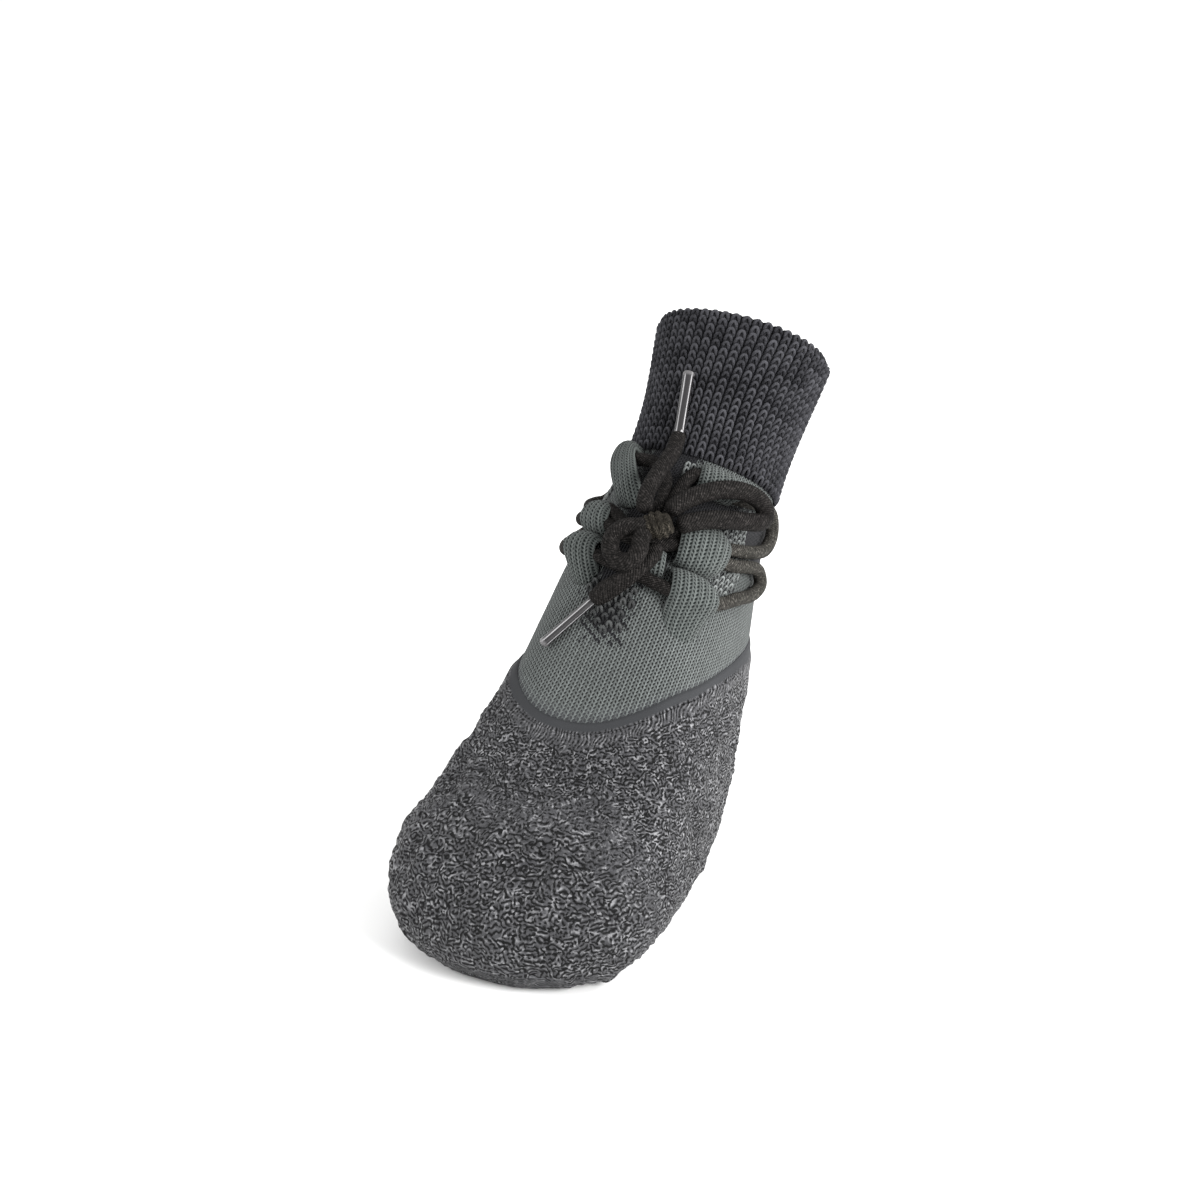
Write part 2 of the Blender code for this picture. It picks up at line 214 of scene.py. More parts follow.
# the last that the sock is knitted round, in millimetres, the toe towards -Y
Station = namedtuple("Station", "name backY backZ frontY frontZ middleX halfWidth squareness")
stations = [
    Station("nose", -67.2, 9.0, -67.2, 13.5, -2.6, 6.0, 2.0),
    Station("tip", -65.0, 5.5, -64.8, 18.5, -2.6, 15.5, 2.1),
    Station("toeCap", -59.8, 1.0, -58.8, 27.0, -2.4, 26.0, 2.25),
    Station("toe", -50.5, -1.5, -48.0, 36.0, -2.4, 34.6, 2.4),
    Station("ball", -32.0, -1.5, -33.5, 46.0, -1.2, 36.0, 2.4),
    Station("vamp", -13.0, -1.5, -21.5, 59.8, -0.5, 33.2, 2.4),
    Station("waist", 4.0, -1.5, -11.0, 74.5, 0.0, 30.3, 2.35),
    Station("heel", 19.0, 5.5, -2.0, 87.5, 0.0, 28.0, 2.3),
    Station("counter", 33.0, 24.0, 8.0, 99.0, 0.0, 26.0, 2.2),
    Station("ankle", 44.0, 46.0, 20.0, 108.0, 0.0, 23.6, 2.1),
    Station("shaft", 56.0, 70.0, 33.0, 117.5, 0.0, 20.8, 2.0),
    Station("cuff", 70.5, 93.5, 43.5, 130.0, 0.0, 20.0, 2.0),
    Station("collar", 90.0, 120.0, 56.5, 147.0, 0.0, 23.8, 2.0),
]
last = {
    "shaftLean": math.radians(35.5),
    "noseBlend": 16.0,
    "dipHeight": 64.3,
    "dipSag": 9.9,
    "dipSagStart": -5.0,
    "dipSagReach": 22.0,
    "cuffAlong": 112.0,
    "gap": 0.3,
    "halvings": 36,  # steps in the search for a place on the skin
    "mapUnit": 100.0,  # millimetres of yarn to one unit of the thread map
}
shaftUp = np.array((0.0, math.sin(last["shaftLean"]), math.cos(last["shaftLean"])))


def fade(value, start, reach):
    # 0 up to the start and 1 beyond the reach, which may run either way
    return np.clip((value - start) / reach, 0.0, 1.0)


def within(value, low, high):
    # how far a value lies inside two limits, below 0 outside them
    return np.minimum(value - low, high - value)


def normalised(rows):
    return rows / np.linalg.norm(rows, axis=-1)[..., None]


def roundTurns(count):
    return 2 * math.pi * np.arange(count) / count


def runningLength(points):
    # the length from the first row of points to each row
    steps = np.linalg.norm(np.diff(np.asarray(points, float), axis=0), axis=-1)
    return np.concatenate((np.zeros_like(steps[:1]), np.cumsum(steps, axis=0)))


def hermite(knots, rows, place):
    # smooth curve through the rows at their knots, read at many places at once
    place = np.asarray(place, float)
    order = np.arange(len(knots))
    low, high = np.maximum(order - 1, 0), np.minimum(order + 1, len(knots) - 1)
    slopes = (rows[high] - rows[low]) / (knots[high] - knots[low])[:, None]
    index = np.clip(np.searchsorted(knots[1:], place), 0, len(knots) - 2)
    span = knots[index + 1] - knots[index]
    t = np.clip((place - knots[index]) / span, 0.0, 1.0)[..., None]
    span = span[..., None]
    start = (2 * t**3 - 3 * t**2 + 1) * rows[index] + (t**3 - 2 * t**2 + t) * span * slopes[index]
    end = (3 * t**2 - 2 * t**3) * rows[index + 1] + (t**3 - t**2) * span * slopes[index + 1]
    return start + end


sectionRows = np.array([station[1:] for station in stations])
middles = [((s.backY + s.frontY) / 2, (s.backZ + s.frontZ) / 2) for s in stations]
sectionKnots = runningLength(middles)
instepPlace, ballPlace, collarPlace = sectionKnots[3], sectionKnots[4], sectionKnots[-1]


def signedPower(value, power):
    return np.sign(value) * np.abs(value) ** power


def skin(place, turn, lift=0.0, floor=None):
    # point on the sock at a place along its middle line and a turn in radians, lift outside the knit
    place, turn, lift = np.broadcast_arrays(np.asarray(place, float), turn, lift)
    section = hermite(sectionKnots, sectionRows, place)
    backY, backZ, frontY, frontZ, middleX, halfWidth, squareness = np.moveaxis(section, -1, 0)
    halfY, halfZ = (frontY - backY) / 2, (frontZ - backZ) / 2
    halfDepth = np.hypot(halfY, halfZ)
    rise = signedPower(np.cos(turn), 2 / squareness) * (halfDepth + lift) / halfDepth
    x = middleX + signedPower(np.sin(turn), 2 / squareness) * (halfWidth + lift)
    y = (backY + frontY) / 2 + halfY * rise - lift * np.maximum(0.0, 1.0 - place / last["noseBlend"])
    z = (backZ + frontZ) / 2 + halfZ * rise
    if floor is not None:
        z = np.maximum(z, floor)
    return np.stack((x, y, z), axis=-1)


def alongShaft(point):
    return point @ shaftUp


def overDipLine(point):
    sag = fade(point[..., 1], last["dipSagStart"], -last["dipSagReach"])
    return point[..., 2] - (last["dipHeight"] - last["dipSag"] * sag**2)


def placeWhere(turn, measure, low=0.0, lift=0.0):
    # place on each column where a measure that grows along it passes zero
    turn = np.asarray(turn, float)
    low, high = np.full(turn.shape, low), np.full(turn.shape, collarPlace)
    for _ in range(last["halvings"]):
        middle = (low + high) / 2
        under = measure(skin(middle, turn, lift)) < 0
        low, high = np.where(under, middle, low), np.where(under, high, middle)
    return (low + high) / 2


def cuffFoot(turns):
    return placeWhere(turns, lambda point: alongShaft(point) - last["cuffAlong"], instepPlace)


def overRim(turns, outerLift, innerLift, roll, degrees):
    # rings that roll over the top edge of the cuff
    middle, half = (outerLift + innerLift) / 2, (outerLift - innerLift) / 2
    bends = np.radians(degrees)
    edges = [skin(collarPlace, turns, middle + half * math.cos(bend)) for bend in bends]
    return [edge + shaftUp * roll * math.sin(bend) for edge, bend in zip(edges, bends)]


def meshObject(name, points, faces, corners, marks, material):
    # corners holds the thread map of each face corner, marks a number for each point
    mesh = bpy.data.meshes.new(name)
    mesh.from_pydata((points * mm).tolist(), [], faces)
    layer = mesh.uv_layers.new(name="threadMap")
    layer.data.foreach_set("uv", np.asarray(corners, "f").ravel())
    for label, values in marks.items():
        mark = mesh.attributes.new(label, "FLOAT", "POINT")
        mark.data.foreach_set("value", np.asarray(values, "f").ravel())
    mesh.shade_smooth()
    mesh.materials.append(material)
    return addItem(name, mesh)


def signedVolume(points, quads):
    a, b, c, d = (points[quads[:, k]] for k in range(4))
    return np.einsum("ij,ij->", a, np.cross(b, c) + np.cross(c, d))


def squaresOf(grid):
    # the four corners of every square of a grid, in turn
    return np.stack((grid[:-1, :-1], grid[:-1, 1:], grid[1:, 1:], grid[1:, :-1]), axis=2)


def closedIndex(rows, count):
    index = np.arange(rows * count).reshape(rows, count)
    return np.concatenate((index, index[:, :1]), axis=1)


def chainOfRings(rings, across, along, marks=None):
    # a closed skin through rings of points, its two ends closed by fans
    rows, count = rings.shape[:2]
    index = closedIndex(rows, count)
    # the map has one column more than the rings, where it meets itself again
    spots = np.stack((np.broadcast_to(across, (rows, count)), along), axis=-1)
    seam = spots[:, :1] + (round(spots[0, -1, 0] + 0.5), 0.0)
    spots = np.concatenate((spots, seam), axis=1)
    quads, quadSpots = squaresOf(index).reshape(-1, 4), squaresOf(spots).reshape(-1, 4, 2)
    fans, fanSpots = [], []
    for row, order in ((0, (2, 1, 0)), (rows - 1, (0, 1, 2))):
        pole = np.full(count, rows * count + len(fans))
        fans.append(np.stack((index[row, :-1], index[row, 1:], pole), axis=1)[:, order])
        edge = np.stack((spots[row, :-1], spots[row, 1:], spots[row, :-1]), axis=1)
        fanSpots.append(edge[:, order])
    fans, fanSpots = np.concatenate(fans), np.concatenate(fanSpots)
    if signedVolume(rings.reshape(-1, 3), quads) < 0:
        quads, quadSpots = quads[:, ::-1], quadSpots[:, ::-1]
        fans, fanSpots = fans[:, ::-1], fanSpots[:, ::-1]
    points = np.concatenate((rings.reshape(-1, 3), [rings[0].mean(axis=0), rings[-1].mean(axis=0)]))
    corners = np.concatenate((quadSpots.reshape(-1, 2), fanSpots.reshape(-1, 2)))
    filled = {}
    for label, values in (marks or {}).items():
        values = np.broadcast_to(values, (rows, count))
        filled[label] = np.append(values.ravel(), (values[0].mean(), values[-1].mean()))
    return points, quads.tolist() + fans.tolist(), corners, filled


def newGroup(name, inputs, outputs):
    group = bpy.data.node_groups.new(name, "ShaderNodeTree")
    for label, value in inputs.items():
        socket = group.interface.new_socket(label, in_out="INPUT", socket_type="NodeSocketFloat")
        socket.default_value = value
    for label in outputs:
        group.interface.new_socket(label, in_out="OUTPUT", socket_type="NodeSocketFloat")
    given = signalsOf(group.nodes.new("NodeGroupInput").outputs)
    return group, given, group.nodes.new("NodeGroupOutput").inputs


def useGroup(tree, group, **inputs):
    node = tree.nodes.new("ShaderNodeGroup")
    node.node_tree = group
    wireAll(inputs, node.inputs)
    return signalsOf(node.outputs)


def threadPlace(tree):
    # how far round and how far along the yarn a spot lies
    spot = lay(tree, "ShaderNodeUVMap", uv_map="threadMap")
    return [spot.lay("ShaderNodeSeparateXYZ", {0: spot}, out) for out in (0, 1)]


def objectPlace(tree):
    return lay(tree, "ShaderNodeTexCoord", out="Object")


def markOf(tree, label):
    return lay(tree, "ShaderNodeAttribute", out="Fac", attribute_name=label)


def randomIn(*cell):
    # one random number for each cell
    spot = cell[0].lay("ShaderNodeCombineXYZ", dict(enumerate(cell)))
    return spot.lay("ShaderNodeTexWhiteNoise", {"Vector": spot}, "Value", noise_dimensions="3D")


# plain knit, in shares of a wale and a course
plainKnit = {
    "hole": {"holeWidth": 0.155, "holeHeight": 0.33},
    "slant": 1.1,
    "yarnEdge": (0.45, 1.35),
    "valleyLight": 0.70,
    "crestDepth": 0.22,
}


def makeStitchGroup():
    # two columns of small holes to a wale, set half a course apart, with yarn ridges between
    inputs = {"wale": 0.0, "course": 0.0, **plainKnit["hole"]}
    outputs = ("height", "light", "shade", "cellWale", "cellCourse")
    group, given, result = newGroup("plainKnitStitch", inputs, outputs)
    inWale = given["wale"].calc("FRACT")
    right = inWale.calc("GREATER_THAN", 0.5)
    fromHole = abs(inWale - 0.5) - 0.25
    leaning = right * 0.5 + (fromHole * plainKnit["slant"] + given["course"])
    upCell = abs(leaning.calc("FRACT") - 0.5) / given["holeHeight"]
    reach = ((abs(fromHole) / given["holeWidth"]) ** 2.0 + upCell**2.0).calc("SQRT")
    thread = reach.ramp(*plainKnit["yarnEdge"])
    ridge = (inWale * (2 * math.pi)).calc("COSINE") * 0.5 + 0.5
    depth, valley = plainKnit["crestDepth"], plainKnit["valleyLight"]
    crest = (inWale * (4 * math.pi)).calc("COSINE") * depth + (1 - depth)
    cellWale, cellCourse = given["wale"].calc("FLOOR"), leaning.calc("FLOOR")
    values = {
        "height": thread * crest,
        "light": thread * (ridge * (1 - valley) + valley),
        "shade": randomIn(cellWale, cellCourse, right),
        "cellWale": cellWale,
        "cellCourse": cellCourse,
    }
    wireAll(values, result)
    return group


def makeBraidGroup():
    # round braid: strands cross over and under on the slant
    group, given, result = newGroup("roundBraid", {"around": 0.0, "along": 0.0}, ("height", "shade"))
    slants = (given["around"] + given["along"], given["around"] - given["along"])
    cells = [slant.calc("FLOOR") for slant in slants]
    humps = [(slant.calc("FRACT") * math.pi).calc("SINE") for slant in slants]
    over = abs(cells[0] + cells[1]).calc("MODULO", 2.0)
    strands = [humps[k] ** 0.9 * humps[1 - k] ** 0.35 for k in (0, 1)]
    height = over.blend(*strands) * 0.45 + humps[0] * 0.55
    wireAll({"height": height, "shade": randomIn(*cells)}, result)
    return group


stitchGroup = makeStitchGroup()
braidGroup = makeBraidGroup()


def knitOn(tree, wales, courseHeight, slant=0.0, **holes):
    # plain knit on the thread map, with so many wales round it
    across, along = threadPlace(tree)
    wale = across * float(wales) + along * slant
    return useGroup(tree, stitchGroup, wale=wale, course=along * (last["mapUnit"] / courseHeight), **holes)


# the lacing's own middle line runs a little askew up the instep
lacingAxis = {"turn": 9.5, "skew": 0.15, "skewAlong": 88.5, "tilt": 2.0}
Stop = namedtuple("Stop", "turn along lift")


def middleTurn(along):
    return lacingAxis["turn"] + lacingAxis["skew"] * (lacingAxis["skewAlong"] - along)


def stopPoint(turn, along, lift, side=1):
    # point over the sock at a turn in degrees from the lacing's own middle, a level and a lift
    turn, along, lift = np.broadcast_arrays(np.asarray(turn, float), along, lift)
    level = along - lacingAxis["tilt"] * np.sin(np.radians(turn)) * side
    turned = np.radians(middleTurn(along) + turn * side)
    place = placeWhere(turned, lambda point: alongShaft(point) - level, instepPlace, lift)
    return skin(place, turned, lift)


knit = {
    "wall": 1.6,
    "floor": 2.8,  # level of the knit under the foot
    "cuffStep": 0.62,
    "rimRoll": 1.75,
    "rimDegrees": (25, 50, 75, 105, 130, 155),
    "columns": 300,
    "footRings": 14,
    "footSpacing": 1.25,
    "ankleRings": 66,
    "cuffRings": 50,
    "innerEvery": 3,
    "cuffRibs": 50,
    "ribDepth": 0.55,
    "footWales": 104,
    "courseHeight": 1.10,
    "skew": -8.0,
    "ribCourse": 2.2,
    "footColour": (0.105, 0.115, 0.112, 1),
    "footDark": (0.004, 0.004, 0.004, 1),
    "throatColour": (0.014, 0.014, 0.016, 1),
    "cuffColour": (0.010, 0.010, 0.012, 1),
    "cuffDark": (0.002, 0.002, 0.003, 1),
    "bandColour": (0.032, 0.033, 0.036, 1),
    "fluff": (2600.0, 2.0),
    "patches": (90.0, 3.0),
    "speckShare": 0.45,
    "speckSpread": 5.0,
    "darkEdge": (-0.2, 0.2),
    "cuffEdge": (-0.3, 0.3),
    "soakHeight": 1.6,
    "soakEdge": (2.3, 0.9),
    "fluffHeight": 0.25,
    "ribHeight": 1.5,
    "bump": (0.9, 0.0005),
    "finish": {"Roughness": 0.92, "Specular IOR Level": 0.12, "Sheen Weight": 0.06},
}
# where the knit is dark, and where painted shade darkens the throat's hollows: turns from the lacing's middle
# in degrees, levels up the shaft in millimetres
darkKnit = {
    "perDegree": 0.38,  # millimetres of knit to a degree
    "throatMiddle": ((58.0, 70.0, 86.0), (-11.0, -11.5, -1.0)),
    "throatHalf": ((56.0, 60.0, 70.0, 82.0, 110.0), (4.0, 7.0, 10.5, 16.0, 21.0)),
    "throatFoot": 57.0,
    "throatTaper": 0.7,
    "sideTurns": (47.0, 112.0),
    "sideFoot": ((44.0, 60.0, 85.0, 112.0), (99.0, 95.0, 92.0, 95.0)),
    "sideTop": 106.5,
    "besideLoops": (44.0, 57.0, 79.5, 101.0),
    "underTopLoop": (12.0, 52.0, 92.0, 109.0),
    # painted shade along the inner ends of the loops: its turn, half width, where it fades in and out, and
    # how dark
    "cavityTurn": 12.5,
    "cavityHalf": 5.0,
    "cavityFoot": (75.0, 4.0),
    "cavityTop": (110.0, -5.0),
    "cavityShadeDepth": 0.85,
}


def makeKnitMaterial():
    material, tree, shader = newMaterial("knittedYarn")
    foot = knitOn(tree, knit["footWales"], knit["courseHeight"], knit["skew"])
    rib = knitOn(tree, knit["cuffRibs"], knit["ribCourse"])
    checker = abs(foot["cellWale"] + foot["cellCourse"]).calc("MODULO", 2.0)
    share, spread = knit["speckShare"], knit["speckSpread"]
    speck = (checker * (1 - share) + foot["shade"] * share) * -spread + spread / 2
    inDark = (markOf(tree, "darkZone") + speck).ramp(*knit["darkEdge"])
    inCuff = markOf(tree, "cuffZone").ramp(*knit["cuffEdge"])
    fluff, patches = (objectPlace(tree).noise(*knit[name]) for name in ("fluff", "patches"))
    brightness = (foot["shade"] * 0.22 + (fluff * 0.35 + 0.70)) * (patches * 0.35 + 0.82)
    grey = foot["light"].tint(knit["footDark"], knit["footColour"])
    night = foot["height"].tint(knit["cuffDark"], knit["throatColour"])
    ribbed = rib["height"].tint(knit["cuffDark"], knit["cuffColour"])
    # the rubber soaks a little way up between the stitches
    soak = (foot["light"] * knit["soakHeight"] + markOf(tree, "overDip")).ramp(*knit["soakEdge"])
    colour = soak.tint(inDark.tint(grey, night), knit["bandColour"])
    colour = brightness.lit(inCuff.tint(colour, ribbed))
    # painted shade: the knit is darkened in the hollows along the inner ends of the loops
    cavity = markOf(tree, "cavity") * darkKnit["cavityShadeDepth"]
    colour = cavity.tint(colour, knit["cuffDark"])
    height = fluff * knit["fluffHeight"] + inCuff.blend(foot["height"], rib["height"] * knit["ribHeight"])
    finishMaterial(shader, colour, height, knit["bump"], knit["finish"])
    return material


def markSock(rings, turns):
    along = alongShaft(rings)
    away = np.degrees(turns) - middleTurn(along)
    beside, perDegree = np.abs(away), darkKnit["perDegree"]
    level = along + lacingAxis["tilt"] * np.sin(np.radians(away))

    def patch(turn, fromTurn, toTurn, foot, top):
        return np.minimum(perDegree * within(turn, fromTurn, toTurn), within(level, foot, top))

    fromThroat = np.abs(away - np.interp(level, *darkKnit["throatMiddle"]))
    throat = perDegree * (np.interp(level, *darkKnit["throatHalf"]) - fromThroat)
    throat = np.minimum(throat, (level - darkKnit["throatFoot"]) * darkKnit["throatTaper"])
    sideFoot = np.interp(beside, *darkKnit["sideFoot"])
    patches = (
        throat,
        patch(beside, *darkKnit["sideTurns"], sideFoot, darkKnit["sideTop"]),
        patch(beside, *darkKnit["besideLoops"]),
        patch(away, *darkKnit["underTopLoop"]),
    )
    # painted shade: the throat is darkened where it lies deepest, along the inner ends of the loops
    hollowShade = np.exp(-(((beside - darkKnit["cavityTurn"]) / darkKnit["cavityHalf"]) ** 2))
    hollowShade = hollowShade * fade(level, *darkKnit["cavityFoot"]) * fade(level, *darkKnit["cavityTop"])
    return {
        "darkZone": np.maximum.reduce(patches),
        "cuffZone": along - last["cuffAlong"],
        "overDip": overDipLine(rings),
        "cavity": hollowShade,
    }


def makeSock(material):
    turns = roundTurns(knit["columns"]) - math.pi
    dip, cuff = placeWhere(turns, overDipLine), cuffFoot(turns)
    ribLift = 0.5 * knit["ribDepth"] * np.cos(turns * knit["cuffRibs"])
    outerLift, innerLift = knit["cuffStep"] + ribLift, -knit["wall"] - ribLift / 2
    outer, inner = [], []
    for k in range(knit["footRings"]):
        place = dip * (k / knit["footRings"]) ** knit["footSpacing"]
        outer.append(skin(place, turns, 0.0, knit["floor"]))
        inner.append(skin(place, turns, -knit["wall"], knit["floor"] + knit["wall"]))
    for k in range(knit["ankleRings"] + 1):
        place = dip + (cuff - dip) * k / knit["ankleRings"]
        outer.append(skin(place, turns))
        if k % knit["innerEvery"] == 0:
            inner.append(skin(place, turns, -knit["wall"]))
    for k in range(1, knit["cuffRings"] + 1):
        place = cuff + (collarPlace - cuff) * k / knit["cuffRings"]
        outer.append(skin(place, turns, outerLift * min(1.0, k / 3)))  # the step rises over three rings
        if k % knit["innerEvery"] == 0 or k == knit["cuffRings"]:
            inner.append(skin(place, turns, innerLift))
    rim = overRim(turns, outerLift, innerLift, knit["rimRoll"], knit["rimDegrees"])
    rings = np.array(outer + rim + inner[::-1])
    # the thread map runs once round the sock, and up each column from the foot of the cuff
    cuffRing = knit["footRings"] + knit["ankleRings"]
    lengths = runningLength(rings)
    lengths = (lengths - lengths[cuffRing]) / last["mapUnit"]
    around = np.linalg.norm(np.roll(rings, -1, axis=1) - rings, axis=2)
    across = (np.cumsum(around, axis=1) - around) / around.sum(axis=1, keepdims=True)
    marks = markSock(rings, turns)
    marks["cuffZone"][cuffRing + 1 :] = np.maximum(marks["cuffZone"][cuffRing + 1 :], 1.0)
    sock = meshObject("knittedSock", *chainOfRings(rings, across, lengths, marks), material)
    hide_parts("knitted_upper")
    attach(sock, "root")


makeSock(makeKnitMaterial())
print("knitted sock ready")


# three kinds of raised stitches, each with its own yarn
cuffKnit = {
    "material": "cuffYarn",
    "yarnRadius": 0.46,
    "stitchHeight": 1.97,
    "stitchWidth": 2.7,
    "seed": 4,
    "lift": 0.95,
    "courses": 24,
    "insideGap": 0.25,
    "insideReach": 6.0,
    "rimSink": 0.1,
    "rimDegrees": range(15, 180, 15),
    "outerSteps": 40,
    "innerSteps": 12,
    "colour": (0.052, 0.052, 0.058, 1),
    "deepColour": (0.004, 0.004, 0.005, 1),
}
throatKnit = {
    "material": "throatStitches",
    "yarnRadius": 0.46,
    "stitchWidth": 2.1,
    "stitchHeight": 1.7,
    "seed": 9,
    "lift": 0.35,
    "rows": 8,
    "firstHalf": 0.9,
    "halfGrowth": 0.24,
    "lowLevel": 58.2,
    "pitchDegrees": 4.6,
    "middleDegrees": -11.5,
    "colour": (0.075, 0.078, 0.077, 1),
    "deepColour": (0.008, 0.008, 0.009, 1),
}
sideKnit = {
    "material": "sideStitches",
    "yarnRadius": 0.34,
    "stitchWidth": 2.0,
    "stitchHeight": 1.75,
    "seed": 6,
    "lift": 0.25,
    "turns": (46.4, 50.3, 54.2, 58.1, 62.0),
    "lowLevel": 80.0,
    "highLevel": 100.0,
    "slopeFrom": 55.0,
    "underCuffTurns": (10.5, 14.6, 18.7),
    "underCuffLevels": (106.2, 107.9, 109.5),
    "colour": (0.215, 0.228, 0.223, 1),
    "deepColour": (0.020, 0.021, 0.022, 1),
}
# one leg of a stitch, in shares of its width and height and of its yarn radius
stitchLeg = {"Start": (0.0, 0.47, 0.5), "Middle": (0.33, 0.36, 0.9), "End": (0.31, -0.50, -1.4)}
yarn = {
    "legSteps": 5,
    "sides": 6,
    "thinEnd": 0.85,
    "swell": 0.22,
    "reach": 0.4,  # how far beside a stitch its way up is read
    "fluff": (2400.0, 3.0),
    "patches": (110.0, 2.0),
    "legShade": -0.55,
    "bump": (0.5, 0.0003),
    "finish": {"Roughness": 0.85, "Specular IOR Level": 0.08},
}


def newNodeTree(name, inputs):
    tree = bpy.data.node_groups.new(name, "GeometryNodeTree")
    for way in ("OUTPUT", "INPUT"):
        tree.interface.new_socket("Geometry", in_out=way, socket_type="NodeSocketGeometry")
    ids = {}
    for label, (kind, value) in inputs.items():
        socket = tree.interface.new_socket(label, in_out="INPUT", socket_type=kind)
        if value is not None:
            socket.default_value = value
        ids[label] = socket.identifier
    given = signalsOf(tree.nodes.new("NodeGroupInput").outputs)
    return tree, ids, given, tree.nodes.new("NodeGroupOutput").inputs


def makeStitchTree():
    # a roof-shaped stitch of two yarn legs is set on every point and then made real
    tree, ids, given, result = newNodeTree(
        "cuffStitches",
        {
            "yarnRadius": ("NodeSocketFloat", 0.0004),
            "stitchWidth": ("NodeSocketFloat", 0.002),
            "stitchHeight": ("NodeSocketFloat", 0.002),
            "seed": ("NodeSocketInt", 4),
            "material": ("NodeSocketMaterial", None),
        },
    )

    def store(geometry, label, value, domain):
        inputs = {"Geometry": geometry, "Name": label, "Value": value}
        return lay(tree, "GeometryNodeStoreNamedAttribute", inputs, data_type="FLOAT", domain=domain)

    def vectorOf(label):
        return lay(tree, "GeometryNodeInputNamedAttribute", {"Name": label}, data_type="FLOAT_VECTOR")

    join = tree.nodes.new("GeometryNodeJoinGeometry")
    for mirror in (1.0, -1.0):
        leg = {"Resolution": yarn["legSteps"]}
        for label, (x, y, z) in stitchLeg.items():
            wide, high = given["stitchWidth"] * (x * mirror), given["stitchHeight"] * y
            spot = {0: wide, 1: high, 2: given["yarnRadius"] * z}
            leg[label] = lay(tree, "ShaderNodeCombineXYZ", spot)
        wire(lay(tree, "GeometryNodeCurveQuadraticBezier", leg), join.inputs[0])
    share = lay(tree, "GeometryNodeSplineParameter", out="Factor")
    swell = (share * math.pi).calc("SINE") * yarn["swell"] + yarn["thinEnd"]
    legs = store(Signal(join.outputs[0]), "legShare", share, "POINT")
    legs = lay(tree, "GeometryNodeSetCurveRadius", {0: legs, "Radius": swell})
    section = {"Resolution": yarn["sides"], "Radius": given["yarnRadius"]}
    section = lay(tree, "GeometryNodeCurvePrimitiveCircle", section)
    tube = {"Curve": legs, "Profile Curve": section, "Fill Caps": True}
    axes = {"Primary Axis": vectorOf("stitchOut"), "Secondary Axis": vectorOf("stitchUp")}
    turn = lay(tree, "FunctionNodeAxesToRotation", axes, primary_axis="Z", secondary_axis="Y")
    placed = {
        "Points": given["Geometry"],
        "Instance": lay(tree, "GeometryNodeCurveToMesh", tube),
        "Rotation": turn,
        "Scale": vectorOf("stitchSpread"),
    }
    placed = lay(tree, "GeometryNodeInstanceOnPoints", placed)
    shade = lay(tree, "FunctionNodeRandomValue", {"Seed": given["seed"]}, 1, data_type="FLOAT")
    real = lay(tree, "GeometryNodeRealizeInstances", {0: store(placed, "stitchShade", shade, "INSTANCE")})
    smooth = lay(tree, "GeometryNodeSetShadeSmooth", {0: real})
    wire(lay(tree, "GeometryNodeSetMaterial", {0: smooth, "Material": given["material"]}), result["Geometry"])
    return tree, ids


def makeYarnMaterial(kind):
    material, tree, shader = newMaterial(kind["material"])
    fluff, patches = (objectPlace(tree).noise(*yarn[name]) for name in ("fluff", "patches"))
    light = markOf(tree, "stitchShade") * 0.4 + (fluff * 1.3 + (patches * 0.6 - 0.75))
    # each leg runs into the shade of the stitch below
    light = (markOf(tree, "legShare") * yarn["legShade"]).calc("ADD", light + 0.3, clamp=True)
    colour = light.tint(kind["deepColour"], kind["colour"])
    finishMaterial(shader, colour, fluff, yarn["bump"], yarn["finish"])
    return material


def growStitches(name, kind, places, ups, acrosses, spreads):
    # runs the stitch tree on loose points and keeps its result as a plain mesh
    seedMesh = bpy.data.meshes.new(name + "Points")
    seedMesh.from_pydata((places * mm).tolist(), [], [])
    outs = np.cross(acrosses, ups)
    vectors = {"stitchUp": normalised(ups), "stitchOut": normalised(outs), "stitchSpread": spreads}
    for label, value in vectors.items():
        mark = seedMesh.attributes.new(label, "FLOAT_VECTOR", "POINT")
        mark.data.foreach_set("vector", np.asarray(value, "f").ravel())
    seedling = addItem(name + "Points", seedMesh)
    modifier = seedling.modifiers.new("grow", "NODES")
    modifier.node_group, ids = stitchTree
    for label in ("yarnRadius", "stitchWidth", "stitchHeight"):
        modifier[ids[label]] = kind[label] * mm
    modifier[ids["seed"]] = kind["seed"]
    modifier[ids["material"]] = makeYarnMaterial(kind)
    depsgraph = bpy.context.evaluated_depsgraph_get()
    mesh = bpy.data.meshes.new_from_object(seedling.evaluated_get(depsgraph), depsgraph=depsgraph)
    mesh.name = name
    bpy.data.objects.remove(seedling, do_unlink=True)
    item = addItem(name, mesh)
    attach(item, "root")
    print(f"{name} ready, {len(places)} stitches")


